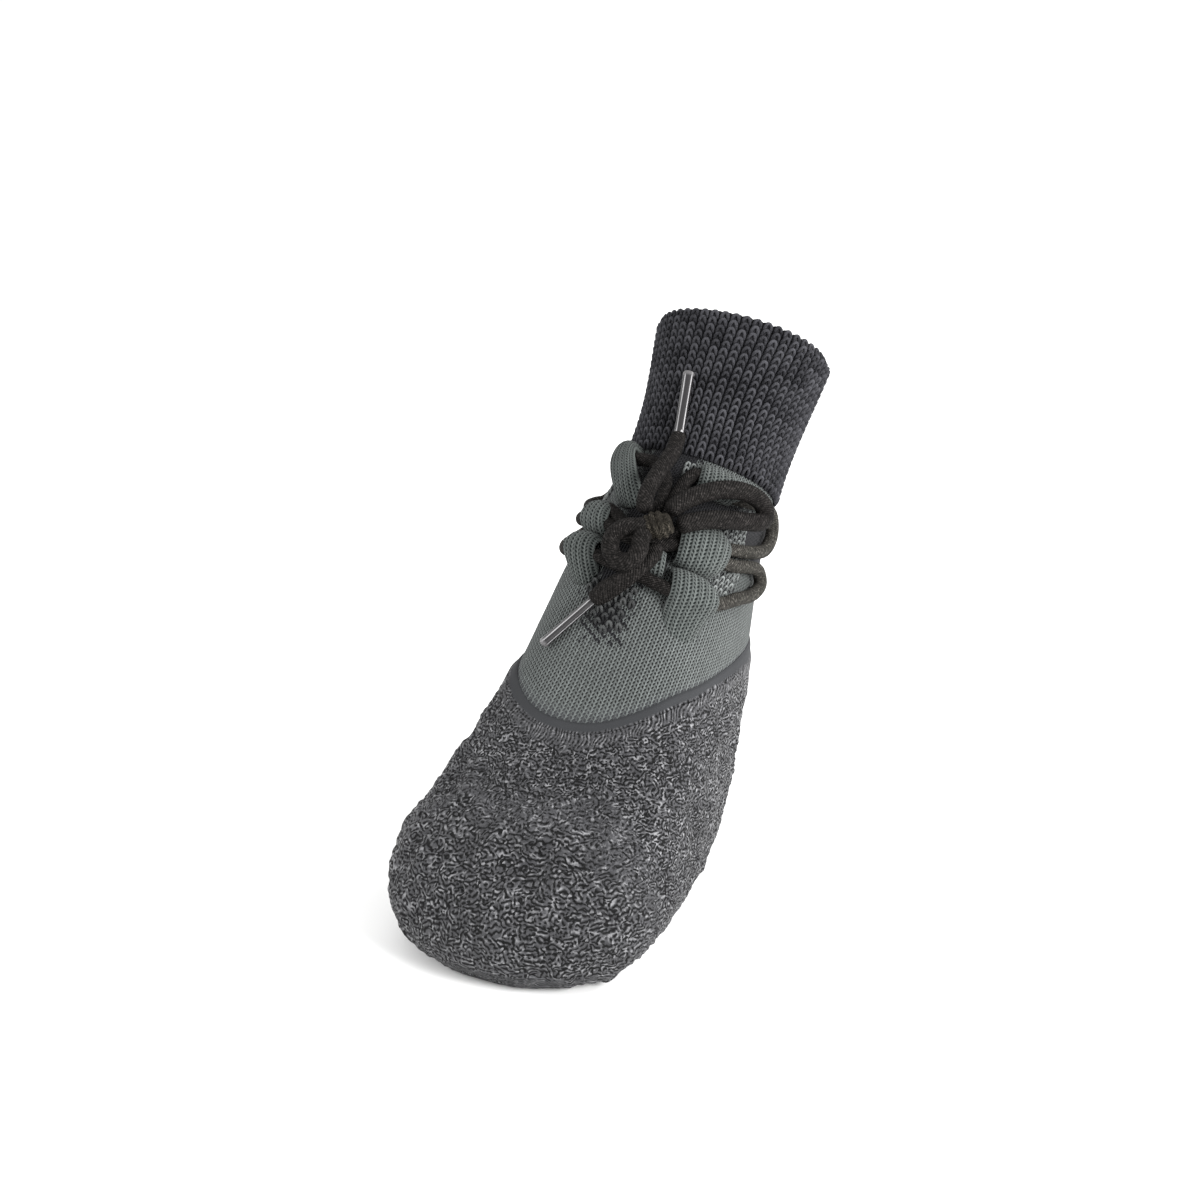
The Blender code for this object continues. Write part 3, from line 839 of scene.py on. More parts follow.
def makeCuffStitches():
    ribs, courses, lift = knit["cuffRibs"], cuffKnit["courses"], cuffKnit["lift"]
    turns = roundTurns(ribs) - math.pi
    cuff, innerLift = cuffFoot(turns), -knit["wall"] - cuffKnit["insideGap"]
    climb = np.linspace(0.0, 1.0, cuffKnit["outerSteps"])
    path = [skin(cuff + (collarPlace - cuff) * share, turns, lift) for share in climb]
    path += overRim(turns, lift, innerLift, knit["rimRoll"] - cuffKnit["rimSink"], cuffKnit["rimDegrees"])
    descent = np.linspace(0.0, cuffKnit["insideReach"], cuffKnit["innerSteps"])
    path += [skin(collarPlace - depth, turns, innerLift) for depth in descent]
    path = np.array(path)
    lengths = runningLength(path)
    pitches = lengths[-1] / courses
    parts = []
    for j in range(ribs):
        def at(distance, rows):
            return np.stack([np.interp(distance, lengths[:, j], column) for column in rows.T], axis=-1)

        distance = pitches[j] * (np.arange(courses) + 0.5)
        across = at(distance, path[:, (j + 1) % ribs] - path[:, j - 1])
        spread = np.ones((courses, 3))
        spread[:, 0] = np.linalg.norm(across, axis=1) / 2 / cuffKnit["stitchWidth"]
        spread[:, 1] = pitches[j] / cuffKnit["stitchHeight"]
        up = at(distance + yarn["reach"], path[:, j]) - at(distance - yarn["reach"], path[:, j])
        parts.append((at(distance, path[:, j]), up, across, spread))
    growStitches("cuffStitches", cuffKnit, *(np.concatenate(rows) for rows in zip(*parts)))


def setStitches(name, kind, spots):
    # spots are turn, level and side of each stitch over the lacing's middle line
    turn, level, side = np.array(spots, float).T
    here = stopPoint(turn, level, kind["lift"], side)
    up = stopPoint(turn, level + 0.5, kind["lift"], side) - here
    across = (stopPoint(turn + 1.0, level, kind["lift"], side) - here) * side[:, None]
    growStitches(name, kind, here, up, across, np.ones_like(here))


def makeThroatStitches():
    # a small wedge of coarse stitches closes the foot of the throat
    spots = []
    for row in range(throatKnit["rows"]):
        level = throatKnit["lowLevel"] + row * throatKnit["stitchHeight"]
        half = math.floor(throatKnit["firstHalf"] + throatKnit["halfGrowth"] * row)
        for step in np.arange(-half, half + 1) + 0.5 * (row % 2):
            spots.append((step * throatKnit["pitchDegrees"] + throatKnit["middleDegrees"], level, 1))
    setStitches("throatStitches", throatKnit, spots)


def makeSideStitches():
    # open V stitches stand on dark ground beside the loops
    spots = []
    for side in (1, -1):
        for turn in sideKnit["turns"]:
            low = sideKnit["lowLevel"] + max(0.0, turn - sideKnit["slopeFrom"])
            levels = np.arange(low, sideKnit["highLevel"], sideKnit["stitchHeight"])
            spots += [(turn, level, side) for level in levels]
    # and a few close the throat under the cuff
    for turn in sideKnit["underCuffTurns"]:
        spots += [(turn, level, 1) for level in sideKnit["underCuffLevels"]]
    setStitches("sideStitches", sideKnit, spots)


stitchTree = makeStitchTree()
makeCuffStitches()
makeThroatStitches()
makeSideStitches()


dipped = {
    "wall": 1.2,
    "innerFloor": 2.5,
    "innerRings": 32,
    "innerSink": 0.1,
    "bandWidth": 3.5,
    "bandStep": 0.65,
    "columns": 360,
    "rings": 200,
    "swell": 0.24,
    "swellWidth": 9.0,
    "bumps": 0.16,
    "bumpWidth": 2.6,
    "swellWaves": (24, 3),  # how many, and the seed
    "bumpWaves": (60, 8),
    "mostPush": (-0.75, 1.6),
    "foldTaper": 0.35,  # the share of its depth that a fold keeps at its ends
    "foldEnds": (0.04, 0.96),
    "calmAtBand": (4, 14),  # rings with no wrinkles, and rings over which they grow
    "calmAtStart": 10,
    "calmAtFloor": 1.5,
    "turnSteps": 4001,
    "outerSpacing": 1.15,
    "innerSpacing": 1.2,
    "underBand": (-10.0, 3.0),  # where the upright ribs start below the band, and how fast
    "soleEdgeLevel": (8.5, -3.0),
    "soleEdgeReach": (-44.0, -8.0),
    "toeReach": (-18.0, -34.0),
    "heart": (0.0, -5.0, 25.0),  # a spot inside, that the skin faces away from
    "warp": (0.0022, 0.0022, 0.0022),
    "wrinkles": ((590.0, 1.9), (440.0, 2.1)),  # scale and frequency on the sides and on the toe
    "ribCount": 190,
    "ribWander": 4.5,
    "warpNoise": (260.0, 2.0, "Color"),
    "edgeNoise": (60.0, 2.0),
    "wanderNoise": (190.0, 1.0),
    "patchNoise": (75.0, 3.0),
    "grainNoise": (2200.0, 2.0),
    "glintNoise": (620.0, 2.0),
    "toeEdge": (0.95, 1.45),
    "bandEdge": (0.1, 1.6),
    "ridgeEdge": (0.02, 0.58),
    "crestEdge": (0.48, 1.0),
    "glintEdge": (0.42, 0.70),
    # painted highlight: the glints on the crests of the wrinkles
    "paintedGlintColour": (0.180, 0.180, 0.186, 1),
    "ridgeColour": (0.043, 0.043, 0.046, 1),
    # painted shade: the near-black grooves between the wrinkles
    "paintedGrooveShade": (0.0015, 0.0015, 0.0016, 1),
    "bandColour": (0.026, 0.027, 0.029, 1),
    "bump": (1.0, 0.00042),
    "finish": {"Specular IOR Level": 0.15},
    "dullRoughness": 0.75,  # of the grooves and the band
    "ridgeRoughness": 0.42,
}
# the band steps down from the crinkled skin: way up from its foot, height over the band, mark
BandStep = namedtuple("BandStep", "up height mark")
bandSteps = [
    BandStep(-0.5, 0.60, -2.0),
    BandStep(0.1, 0.40, -1.0),
    BandStep(0.7, 0.15, 0.0),
    BandStep(1.3, 0.0, 1.0),
    BandStep(2.0, -0.08, 2.0),
    BandStep(2.6, -0.22, 2.0),
    BandStep(3.2, -0.45, 2.0),
    BandStep(3.6, -0.90, 2.0),
]
# soft troughs and ridges of the dip, listed one by one: two ends on the skin, half width and depth
Fold = namedtuple("Fold", "name fromX fromY fromZ toX toY toZ reach depth")
folds = [
    Fold("underBandLeft", 0.0, -37.0, 48.0, 14.0, -34.0, 46.0, 2.2, -0.7),
    Fold("underBandRight", -13.0, -39.0, 44.0, -1.0, -38.0, 47.0, 2.4, 0.4),
    Fold("vampCrease", 6.0, -44.0, 41.5, 18.0, -38.0, 40.0, 2.6, -0.55),
    Fold("vampRidge", -12.0, -47.0, 38.0, 6.0, -48.0, 38.5, 4.0, 0.5),
    Fold("toeTrough", -16.0, -54.0, 31.0, 8.0, -55.5, 31.0, 3.6, -0.45),
    Fold("toeRidge", -20.0, -60.0, 22.0, 14.0, -61.0, 22.0, 4.2, 0.45),
    Fold("toeEdgeTrough", -22.0, -64.0, 7.5, 16.0, -62.5, 7.5, 2.0, -0.7),
    Fold("toeCorner", 25.0, -51.5, 2.5, 28.0, -47.0, 3.0, 3.0, 1.3),
    Fold("innerSideCrease", 33.0, -34.0, 30.0, 34.5, -14.0, 38.0, 3.0, -0.5),
    Fold("innerSideRidge", 35.0, -26.0, 18.0, 33.5, -2.0, 22.0, 4.0, 0.45),
    Fold("outerSideCrease", -37.0, -30.0, 28.0, -34.5, -8.0, 36.0, 3.0, -0.5),
    Fold("outerSideRidge", -38.0, -24.0, 16.0, -34.0, 0.0, 18.0, 4.0, 0.45),
    Fold("heelCreaseLeft", 26.0, 24.0, 40.0, 10.0, 36.0, 46.0, 2.6, -0.5),
    Fold("heelCreaseRight", -26.0, 24.0, 38.0, -8.0, 36.0, 44.0, 2.6, -0.45),
]


def makeRubberMaterial():
    material, tree, shader = newMaterial("dippedRubber")
    place = objectPlace(tree)
    edge, wander, patches, grain, glints = (
        place.noise(*dipped[f"{name}Noise"]) for name in ("edge", "wander", "patch", "grain", "glint")
    )
    inputs = {0: place.noise(*dipped["warpNoise"]), 1: dipped["warp"], 2: place}
    shifted = lay(tree, "ShaderNodeVectorMath", inputs, operation="MULTIPLY_ADD")
    # the phase keeps every wrinkle as deep as the next
    waves = []
    for scale, frequency in dipped["wrinkles"]:
        inputs = {"Vector": shifted, "Scale": scale, "Frequency": frequency, "Anisotropy": 0.0}
        phase = lay(tree, "ShaderNodeTexGabor", inputs, "Phase", gabor_type="3D")
        waves.append((phase * (2 * math.pi)).calc("SINE"))
    overToe = (markOf(tree, "toeZone") + edge).ramp(*dipped["toeEdge"])
    # fine upright ribs gather under the band and at the edge of the sole
    turned = threadPlace(tree)[0] * float(dipped["ribCount"]) + wander * dipped["ribWander"]
    ribs = (turned * (2 * math.pi)).calc("SINE")
    ribbed = (patches * 2.4).calc("ADD", markOf(tree, "ribZone") * 1.6 - 2.1, clamp=True)
    height = (ribbed * 0.9).blend(overToe.blend(*waves), ribs) * 0.5 + 0.5
    inBand = (wander * 2.0 + markOf(tree, "bandZone")).ramp(*dipped["bandEdge"])
    # painted shade: the grooves between the wrinkles are painted near black, and the ridges keep the rubber's
    # own grey
    ridge = (grain * 0.30 + (height - 0.15)).ramp(*dipped["ridgeEdge"])
    # painted highlight: glints are painted light on the crests of the wrinkles
    crest = height.ramp(*dipped["crestEdge"]) * glints.ramp(*dipped["glintEdge"])
    colour = crest.tint(ridge.tint(dipped["paintedGrooveShade"], dipped["ridgeColour"]), dipped["paintedGlintColour"])
    band = (patches * 0.4 + 0.8).lit(dipped["bandColour"])
    colour = inBand.tint((patches * 0.9 + 0.55).lit(colour), band)
    relief = inBand.blend(grain * 0.10 + height, grain * 0.12 + 0.7)
    finishMaterial(shader, colour, relief, dipped["bump"], dipped["finish"])
    roughness = (ridge - inBand).blend(dipped["dullRoughness"], dipped["ridgeRoughness"])
    wire(roughness, shader["Roughness"])
    return material


def evenTurns(count, place):
    # turns that lie at equal steps round the section at a place
    fine = np.linspace(-math.pi, math.pi, dipped["turnSteps"])
    lengths = runningLength(skin(place, fine))
    return np.interp(lengths[-1] * np.arange(count) / count, lengths, fine)


def waveNoise(points, width, waves, seed):
    # smooth noise from many waves of one width, from -1 to 1 or so
    source = np.random.default_rng(seed)
    ways = normalised(source.normal(size=(waves, 3))) * (2 * math.pi / width)
    starts = source.uniform(0, 2 * math.pi, waves)
    total = sum(np.cos(points @ way + start) for way, start in zip(ways, starts))
    return total * math.sqrt(2 / waves)


def foldDepth(points):
    total = np.zeros(points.shape[:-1])
    for fold in folds:
        start = np.array((fold.fromX, fold.fromY, fold.fromZ))
        way = np.array((fold.toX, fold.toY, fold.toZ)) - start
        share = np.clip(((points - start) @ way) / way.dot(way), 0.0, 1.0)
        away = np.linalg.norm(points - start - share[..., None] * way, axis=-1)
        middle = np.sin(math.pi * np.clip(share, *dipped["foldEnds"]))
        taper = dipped["foldTaper"] + (1 - dipped["foldTaper"]) * middle
        total += fold.depth * taper * np.exp(-((away / fold.reach) ** 2))
    return total


def crinkled(outer):
    # wrinkles swell and sink the outer skin, less so at the band and under the foot
    side = np.roll(outer, -1, axis=1) - np.roll(outer, 1, axis=1)
    normal = np.cross(np.gradient(outer, axis=0), side)
    normal /= np.maximum(np.linalg.norm(normal, axis=2), 1e-9)[..., None]
    normal *= np.sign((normal * (outer - dipped["heart"])).sum(axis=2).mean())
    push = dipped["swell"] * waveNoise(outer, dipped["swellWidth"], *dipped["swellWaves"])
    push += dipped["bumps"] * waveNoise(outer, dipped["bumpWidth"], *dipped["bumpWaves"])
    push = np.clip(push + foldDepth(outer), *dipped["mostPush"])
    row = np.arange(len(outer))[:, None]
    calm, growth = dipped["calmAtBand"]
    push *= fade(row, dipped["rings"] - calm, -growth) * fade(row, 0, dipped["calmAtStart"])
    push *= fade(outer[..., 2], 0.0, dipped["calmAtFloor"])
    outer = outer + normal * push[..., None]
    outer[..., 2] = np.maximum(outer[..., 2], 0.0)
    return outer


def makeRubber(material):
    turns = evenTurns(dipped["columns"], ballPlace)
    dip = placeWhere(turns, overDipLine)
    bandFoot = dip - dipped["bandWidth"]
    outerLift = last["gap"] + dipped["wall"]
    bandLift = outerLift - dipped["bandStep"]
    climb = (np.arange(dipped["rings"]) / dipped["rings"]) ** dipped["outerSpacing"]
    outer = [skin(bandFoot * share, turns, outerLift, 0.0) for share in climb]
    outer += [skin(bandFoot + step.up, turns, bandLift + step.height, 0.0) for step in bandSteps]
    descent = np.linspace(1.0, 0.0, dipped["innerRings"]) ** dipped["innerSpacing"]
    innerLift = last["gap"] - dipped["innerSink"]
    inner = [skin(dip * share, turns, innerLift, dipped["innerFloor"]) for share in descent]
    rings = np.concatenate((crinkled(np.array(outer)), inner))
    # the mark of the band is below 0 on the crinkled skin
    band = [-5.0] * dipped["rings"] + [step.mark for step in bandSteps] + [2.0] * dipped["innerRings"]
    lengths = runningLength(rings)
    lengths = lengths - lengths[len(outer) - 1]
    across = np.arange(dipped["columns"]) / dipped["columns"]
    # upright ribs lie under the band, and round the edge of the sole at the toe
    soleEdge = fade(rings[..., 2], *dipped["soleEdgeLevel"]) * fade(rings[..., 1], *dipped["soleEdgeReach"])
    marks = {
        "bandZone": np.array(band)[:, None],
        "ribZone": np.maximum(fade(lengths, *dipped["underBand"]), soleEdge),
        "toeZone": fade(rings[..., 1], *dipped["toeReach"]),
    }
    parts = chainOfRings(rings, across, lengths / last["mapUnit"], marks)
    rubber = meshObject("rubberDip", *parts, material)
    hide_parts("rubber_sole")
    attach(rubber, "root")


makeRubber(makeRubberMaterial())
print("rubber dip ready")


# level and size of each loop, then its turns, how far it climbs across, and how it is drawn in
Loop = namedtuple(
    "Loop",
    "side name along halfLength height lean innerTurn outerTurn innerRise outerRise"
    " pinchInner pinchOuter ease foot wales",
)
loops = [
    Loop("left", "low", 74.0, 6.2, 6.7, 0.8, 17.5, 43.0, 0.0, 0.0, 0.12, 0.36, 1.1, 6.0, 7),
    Loop("left", "middle", 87.8, 7.4, 6.9, 0.8, 18.0, 43.5, 0.0, 2.0, 0.10, 0.40, 0.0, 0.8, 7),
    Loop("left", "top", 107.2, 4.1, 6.4, 0.2, 20.0, 47.0, 0.0, 0.0, 0.15, 0.34, 0.0, 0.4, 7),
    Loop("right", "low", 77.6, 5.3, 6.7, 0.8, 18.5, 38.5, 0.0, 0.0, 0.35, 0.42, 0.3, 4.0, 6),
    Loop("right", "middle", 87.5, 5.1, 6.1, 0.8, 18.0, 37.5, 0.0, 0.0, 0.40, 0.42, 0.0, 1.0, 6),
    Loop("right", "top", 102.4, 9.4, 6.8, 3.0, 8.0, 27.0, 18.0, 19.0, 0.25, 0.30, 0.2, 1.0, 7),
    Loop("left", "tab", 79.2, 3.5, 5.4, 0.8, 4.5, 13.0, 0.0, 0.0, 0.05, 0.10, 0.0, 0.5, 2),
]
strip = {
    "wall": 1.3,
    "gap": 0.5,
    "wales": 6,
    "course": 1.10,
    "holes": {"holeWidth": 0.15, "holeHeight": 0.33},
    "arcSteps": 36,
    "acrossSteps": 27,
    "edgeDrop": 1.3,
    "edgeThin": 0.54,
    "ripple": 0.14,
    "steepness": 0.66,
    "edgeBend": 3.2,
    "pinchBend": 2.6,
    "footBend": 1.6,
    "footSink": 0.62,
    "colour": (0.082, 0.091, 0.087, 1),
    "dark": (0.002, 0.004, 0.004, 1),
}


def makeLoopMaterial():
    material, tree, shader = newMaterial("loopKnit")
    stitch = knitOn(tree, strip["wales"], strip["course"], **strip["holes"])
    fluff = objectPlace(tree).noise(*knit["fluff"])
    brightness = stitch["shade"] * 0.25 + (fluff * 0.35 + 0.70)
    colour = brightness.lit(stitch["light"].tint(strip["dark"], strip["colour"]))
    height = fluff * knit["fluffHeight"] + stitch["height"]
    finishMaterial(shader, colour, height, knit["bump"], knit["finish"])
    return material


def loopRing(loop, share):
    # one section of a loop at a share of its width: out along the arch and back inside it
    side = 1 if loop.side == "left" else -1
    arc = np.linspace(0.0, math.pi, strip["arcSteps"])
    offset = abs(2 * share - 1)
    edge = offset ** strip["edgeBend"]
    pinch = (loop.pinchInner if share < 0.5 else loop.pinchOuter) * offset ** strip["pinchBend"]
    drop = strip["edgeDrop"] * edge + strip["ripple"] * math.cos(2 * math.pi * loop.wales * share)
    thinner = drop - strip["edgeThin"] * edge
    profile = []
    for inset, bends, sink in ((0.0, arc, drop), (strip["wall"], arc[::-1], thinner)):
        half, height = (loop.halfLength - inset) * (1.0 - pinch), loop.height - inset
        arch, lowerHalf = np.sin(bends), bends < math.pi / 2
        along = loop.along - half * np.cos(bends) + loop.lean * arch
        steep = np.where(lowerHalf, strip["steepness"] + loop.ease, strip["steepness"])
        lift = strip["gap"] + height * arch**steep - sink * arch
        rise = loop.innerRise * (1 - share) + loop.outerRise * share
        turn = loop.innerTurn + (loop.outerTurn - loop.innerTurn) * share + rise * (1 - np.cos(bends)) / 2
        if not inset:
            # the lower end runs out flat into the sock
            tail = np.where(lowerHalf, (1.0 - arch) ** strip["footBend"], 0.0)
            along = along - loop.foot * (1 - 0.5 * edge) * tail
            lift = lift - strip["footSink"] * tail
        profile.append(stopPoint(turn, along, lift, side))
    return np.concatenate(profile)


def makeLoop(loop, material):
    # a strip of knit sewn down at its two ends, drawn in where the lace enters and leaves
    shares = np.linspace(0.0, 1.0, strip["acrossSteps"])
    rings = np.array([loopRing(loop, share) for share in shares])
    rows, count = rings.shape[:2]
    outline = runningLength(rings[rows // 2])
    outline = np.append(outline, outline[-1] + strip["wall"]) / last["mapUnit"]
    spots = np.stack(np.meshgrid(shares * loop.wales / strip["wales"], outline, indexing="ij"), axis=-1)
    # each side edge is closed by one row of squares
    j = np.arange(strip["arcSteps"] - 1)
    cap = np.stack((j, count - 1 - j, count - 2 - j, j + 1), axis=1)
    capSpots = np.repeat(spots[[0, -1], : len(j)].reshape(-1, 1, 2), 4, axis=1)
    quads = squaresOf(closedIndex(rows, count)).reshape(-1, 4)
    quads = np.concatenate((quads, cap, cap[:, ::-1] + (rows - 1) * count))
    quadSpots = np.concatenate((squaresOf(spots).reshape(-1, 4, 2), capSpots))
    points = rings.reshape(-1, 3)
    if signedVolume(points, quads) < 0:
        quads, quadSpots = quads[:, ::-1], quadSpots[:, ::-1]
    name = f"{loop.side}_{loop.name}"
    item = meshObject(f"laceLoop_{name}", points, quads.tolist(), quadSpots, {}, material)
    if loop.name != "tab":
        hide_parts(f"lace_loop_{name}")
    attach(item, "root")


loopMaterial = makeLoopMaterial()
for loop in loops:
    makeLoop(loop, loopMaterial)
print("lace loops ready")


lace = {
    "radius": 1.8,
    "bowRadius": 2.45,
    "curlRadius": 2.35,
    "endRadius": 2.2,
    "sides": 18,
    "step": 0.8,
    "strandsAround": 14,
    "strandPitch": 2.9,
    "colour": (0.0175, 0.0158, 0.0150, 1),
    # painted light on the outer runs of the tied lace
    "litSideColour": (0.056, 0.053, 0.047, 1),
    "litSideEdge": (0.016, 0.024),  # how far from the middle, in metres
    "fluff": (3000.0, 2.0),
    "specks": (1300.0, 2.0),
    "speckEdge": (0.50, 0.74),
    "fluffHeight": 0.25,
    "fullAt": (0.0, 0.4, 0.85, 1.0),  # shares of a free end, and how full each end is there
    "fullUp": (1.0, 1.0, 1.0, 0.9),
    "fullDown": (0.9, 1.05, 1.28, 1.0),
    "roundReach": 0.6,  # how far a cut end is rounded, and how deep
    "roundDepth": 0.75,
    "seamWay": (0.31, 0.17, 0.93),
    "knotColour": (0.034, 0.030, 0.024, 1),
    "dark": (0.0008, 0.0008, 0.0008, 1),
    "bump": (0.8, 0.0004),
    "finish": {"Roughness": 0.8, "Specular IOR Level": 0.05},
}
lacingUpper = [
    Stop(17.0, 106.6, 3.5), Stop(25.0, 106.4, 3.3), Stop(41.0, 105.4, 3.0), Stop(54.0, 106.6, 2.7),
    Stop(68.0, 108.4, 2.5), Stop(82.0, 108.0, 2.5), Stop(91.0, 104.0, 2.5), Stop(83.0, 98.6, 2.5),
    Stop(69.0, 95.2, 2.5), Stop(54.0, 92.4, 2.6), Stop(40.0, 90.5, 2.8), Stop(23.0, 90.3, 2.9),
    Stop(13.0, 87.8, 2.8), Stop(6.0, 85.0, 2.7),
]
lacingUnder = Stop(0.0, 83.6, 2.6)
lacingOver = Stop(0.0, 83.6, 7.2)
lacingLower = [
    Stop(6.0, 83.2, 4.2), Stop(13.0, 84.8, 2.9), Stop(23.0, 86.5, 2.9), Stop(39.0, 86.5, 2.8),
    Stop(52.0, 87.8, 2.6), Stop(65.0, 90.2, 2.5), Stop(76.0, 91.4, 2.5), Stop(82.0, 88.8, 2.5),
    Stop(73.0, 84.2, 2.5), Stop(60.0, 80.3, 2.5), Stop(48.0, 76.6, 2.6), Stop(37.0, 74.6, 2.8),
    Stop(20.0, 74.2, 2.9), Stop(9.0, 74.2, 2.9),
]
lacingBar = Stop(0.0, 74.6, 2.9)
# the low bar climbs towards the wearer's right: its rise on each side, the turn and level it fades over
lowBar = {"rise": {1: -0.9, -1: 2.6}, "turn": 20.0, "level": 78.0, "levelReach": 3.0}
lacingToKnot = {
    "left": [Stop(9.5, 90.8, 6.0), Stop(9.5, 95.0, 5.0), Stop(12.0, 101.8, 4.0)],
    "right": [Stop(-2.0, 90.8, 5.8), Stop(-4.5, 96.0, 4.4), Stop(-1.5, 103.0, 3.6), Stop(7.0, 106.4, 3.3)],
}

# the bow is laid out from the middle of its knot: across to the wearer's left, up the instep and out
knotMiddle = Vector((12.0, 2.5, 105.0))
knotOut = Vector((0.14, -0.77, 0.62)).normalized()
knotAcross = (Vector((1, 0, 0)) - knotOut * knotOut.x).normalized()
knotUp = knotOut.cross(knotAcross)
knot = {
    "halfSize": (4.3, 3.5, 2.97),
    "levels": 41,
    "around": 48,
    "wrapSlant": (1.89, 1.05),
    "wrapStart": 0.35,
    "leastSwell": 0.80,
    "wrapSwell": 0.28,
    "wrapBend": 0.6,
    "roundness": 0.75,
    "length": 9.0,
}
Spot = namedtuple("Spot", "across up out")
bowLoopLeft = [
    Spot(1.6, 4.4, -0.4), Spot(4.0, 8.6, -2.0), Spot(7.6, 13.0, -5.2), Spot(11.5, 16.4, -9.2),
    Spot(15.0, 18.4, -14.0), Spot(17.8, 18.6, -18.4), Spot(19.2, 17.4, -21.2), Spot(19.7, 15.4, -22.2),
    Spot(19.2, 13.3, -20.4), Spot(17.0, 11.2, -16.0), Spot(14.0, 9.0, -11.0), Spot(10.8, 6.8, -7.0),
    Spot(7.4, 4.0, -3.6), Spot(4.6, 1.6, -1.6),
]
bowLoopRight = [
    Spot(-1.6, -0.6, 0.2), Spot(-4.2, -1.7, 1.0), Spot(-7.8, -3.2, 2.0), Spot(-9.8, -6.4, 2.4),
    Spot(-9.2, -10.0, 2.4), Spot(-6.2, -12.2, 2.2), Spot(-3.0, -11.2, 2.0), Spot(-1.8, -8.2, 2.4),
    Spot(-2.4, -5.2, 2.0), Spot(-2.0, -2.6, 1.0),
]
laceEndUp = [
    Spot(-4.6, 2.6, 0.5), Spot(-5.8, 7.2, -0.3), Spot(-6.0, 12.4, -2.6), Spot(-6.2, 18.0, -6.3),
    Spot(-6.6, 24.0, -11.0), Spot(-7.6, 30.0, -14.0),
]
laceEndDown = [
    Spot(0.8, -4.2, -1.8), Spot(0.4, -7.4, -2.6), Spot(-2.0, -11.5, -2.4), Spot(-5.6, -15.6, -3.2),
    Spot(-9.4, -18.6, -5.0), Spot(-12.5, -21.2, -6.6),
]
agletTipUp = Spot(-10.8, 48.5, -14.6)
agletTipDown = Spot(-24.4, -34.8, -12.4)
aglet = {
    "radiusUp": 1.45,
    "radiusDown": 1.25,
    "sides": 24,
    "start": 0.4,
    "profile": (  # shares of its length, and how full it is there
        (0.0, 0.01, 0.06, 0.12, 0.5, 0.9, 0.96, 0.985, 1.0),
        (0.9, 1.0, 1.0, 0.97, 1.0, 1.05, 1.12, 1.0, 0.55),
    ),
    "laceInside": 7.5,
    "insideSteps": 10,
    "insideProfile": ((0.0, 0.6, 1.2, 8.0), (1.9, 1.0, 0.85, 0.8)),  # way in, and radius of the lace there
    # painted highlights: this many pale bands run round it
    "folds": 5,
    "streaks": (1.0, 3.0),
    "highlightEdge": (1.10, 1.45),
    "clearEdge": (0.90, 0.95),
    # painted highlight colour of the pale bands
    "paintedHighlightColour": (0.27, 0.265, 0.27, 1),
    "laceColour": (0.014, 0.013, 0.014, 1),
    "tipColour": (0.085, 0.082, 0.084, 1),
    "bump": (0.4, 0.0003),
    "finish": {"Roughness": 0.22, "Specular IOR Level": 0.25, "Coat Weight": 0.35, "Coat Roughness": 0.08},
}


def makeLaceMaterial(name, colour, litSideColour=None):
    material, tree, shader = newMaterial(name)
    across, along = threadPlace(tree)
    strands = lace["strandsAround"]
    perUnit = last["mapUnit"] * strands / lace["strandPitch"] / 4
    braid = useGroup(tree, braidGroup, around=across * float(strands), along=along * perUnit)
    place = objectPlace(tree)
    fluff, specks = place.noise(*lace["fluff"]), place.noise(*lace["specks"])
    brightness = specks.ramp(*lace["speckEdge"]) * 1.5 + (braid["shade"] * 0.5 + (fluff * 1.2 - 0.15))
    if litSideColour:
        # painted light: the outer runs out at the sides are painted lighter, as where light falls on them
        beside = abs(place.lay("ShaderNodeSeparateXYZ", {"Vector": place}, "X"))
        colour = beside.ramp(*lace["litSideEdge"]).tint(colour, litSideColour)
    colour = brightness.lit((braid["height"] * 0.65 + 0.35).tint(lace["dark"], colour))
    height = fluff * lace["fluffHeight"] + braid["height"]
    finishMaterial(shader, colour, height, lace["bump"], lace["finish"])
    return material


def makeAgletMaterial():
    material, tree, shader = newMaterial("agletPlastic")
    across, along = threadPlace(tree)
    lengthwise = across.lay("ShaderNodeCombineXYZ", {0: across * 7.0, 1: along * 6.0})
    streaks = lengthwise.noise(*aglet["streaks"])
    # painted highlights: pale bands run along the clear film
    highlightBands = (across * (2 * math.pi * aglet["folds"])).calc("COSINE")
    colour = (streaks * 0.8 + highlightBands).ramp(*aglet["highlightEdge"]).tint(aglet["laceColour"], aglet["paintedHighlightColour"])
    # the clear tip has no lace inside
    colour = markOf(tree, "tip").ramp(*aglet["clearEdge"]).tint(colour, aglet["tipColour"])
    finishMaterial(shader, colour, streaks, aglet["bump"], aglet["finish"])
    return material


def bowPoint(spot):
    return np.array(knotMiddle + knotAcross * spot.across + knotUp * spot.up + knotOut * spot.out)


def smoothRoute(points, step):
    points = np.asarray(points, float)
    knots = runningLength(points)
    pieces = max(2, round(knots[-1] / step))
    return hermite(knots, points, knots[-1] * np.arange(pieces + 1) / pieces)


def tubeRings(points, radii, sides):
    # rings that don't twist along a route
    tangents = normalised(np.gradient(points, axis=0))
    across = np.cross(tangents[0], lace["seamWay"])
    angles = roundTurns(sides)
    rings = []
    for point, tangent, radius in zip(points, tangents, radii):
        across = normalised(across - tangent * across.dot(tangent))
        up = np.cross(tangent, across)
        rings.append(point + radius * (np.cos(angles)[:, None] * across + np.sin(angles)[:, None] * up))
    return np.array(rings)


def makeTube(name, points, radii, sides, material):
    rings = tubeRings(points, radii, sides)
    lengths = np.repeat(runningLength(points)[:, None], sides, axis=1)
    marks = {"tip": lengths / lengths[-1, 0]}
    parts = chainOfRings(rings, np.arange(sides) / sides, lengths / last["mapUnit"], marks)
    return meshObject(name, *parts, material)


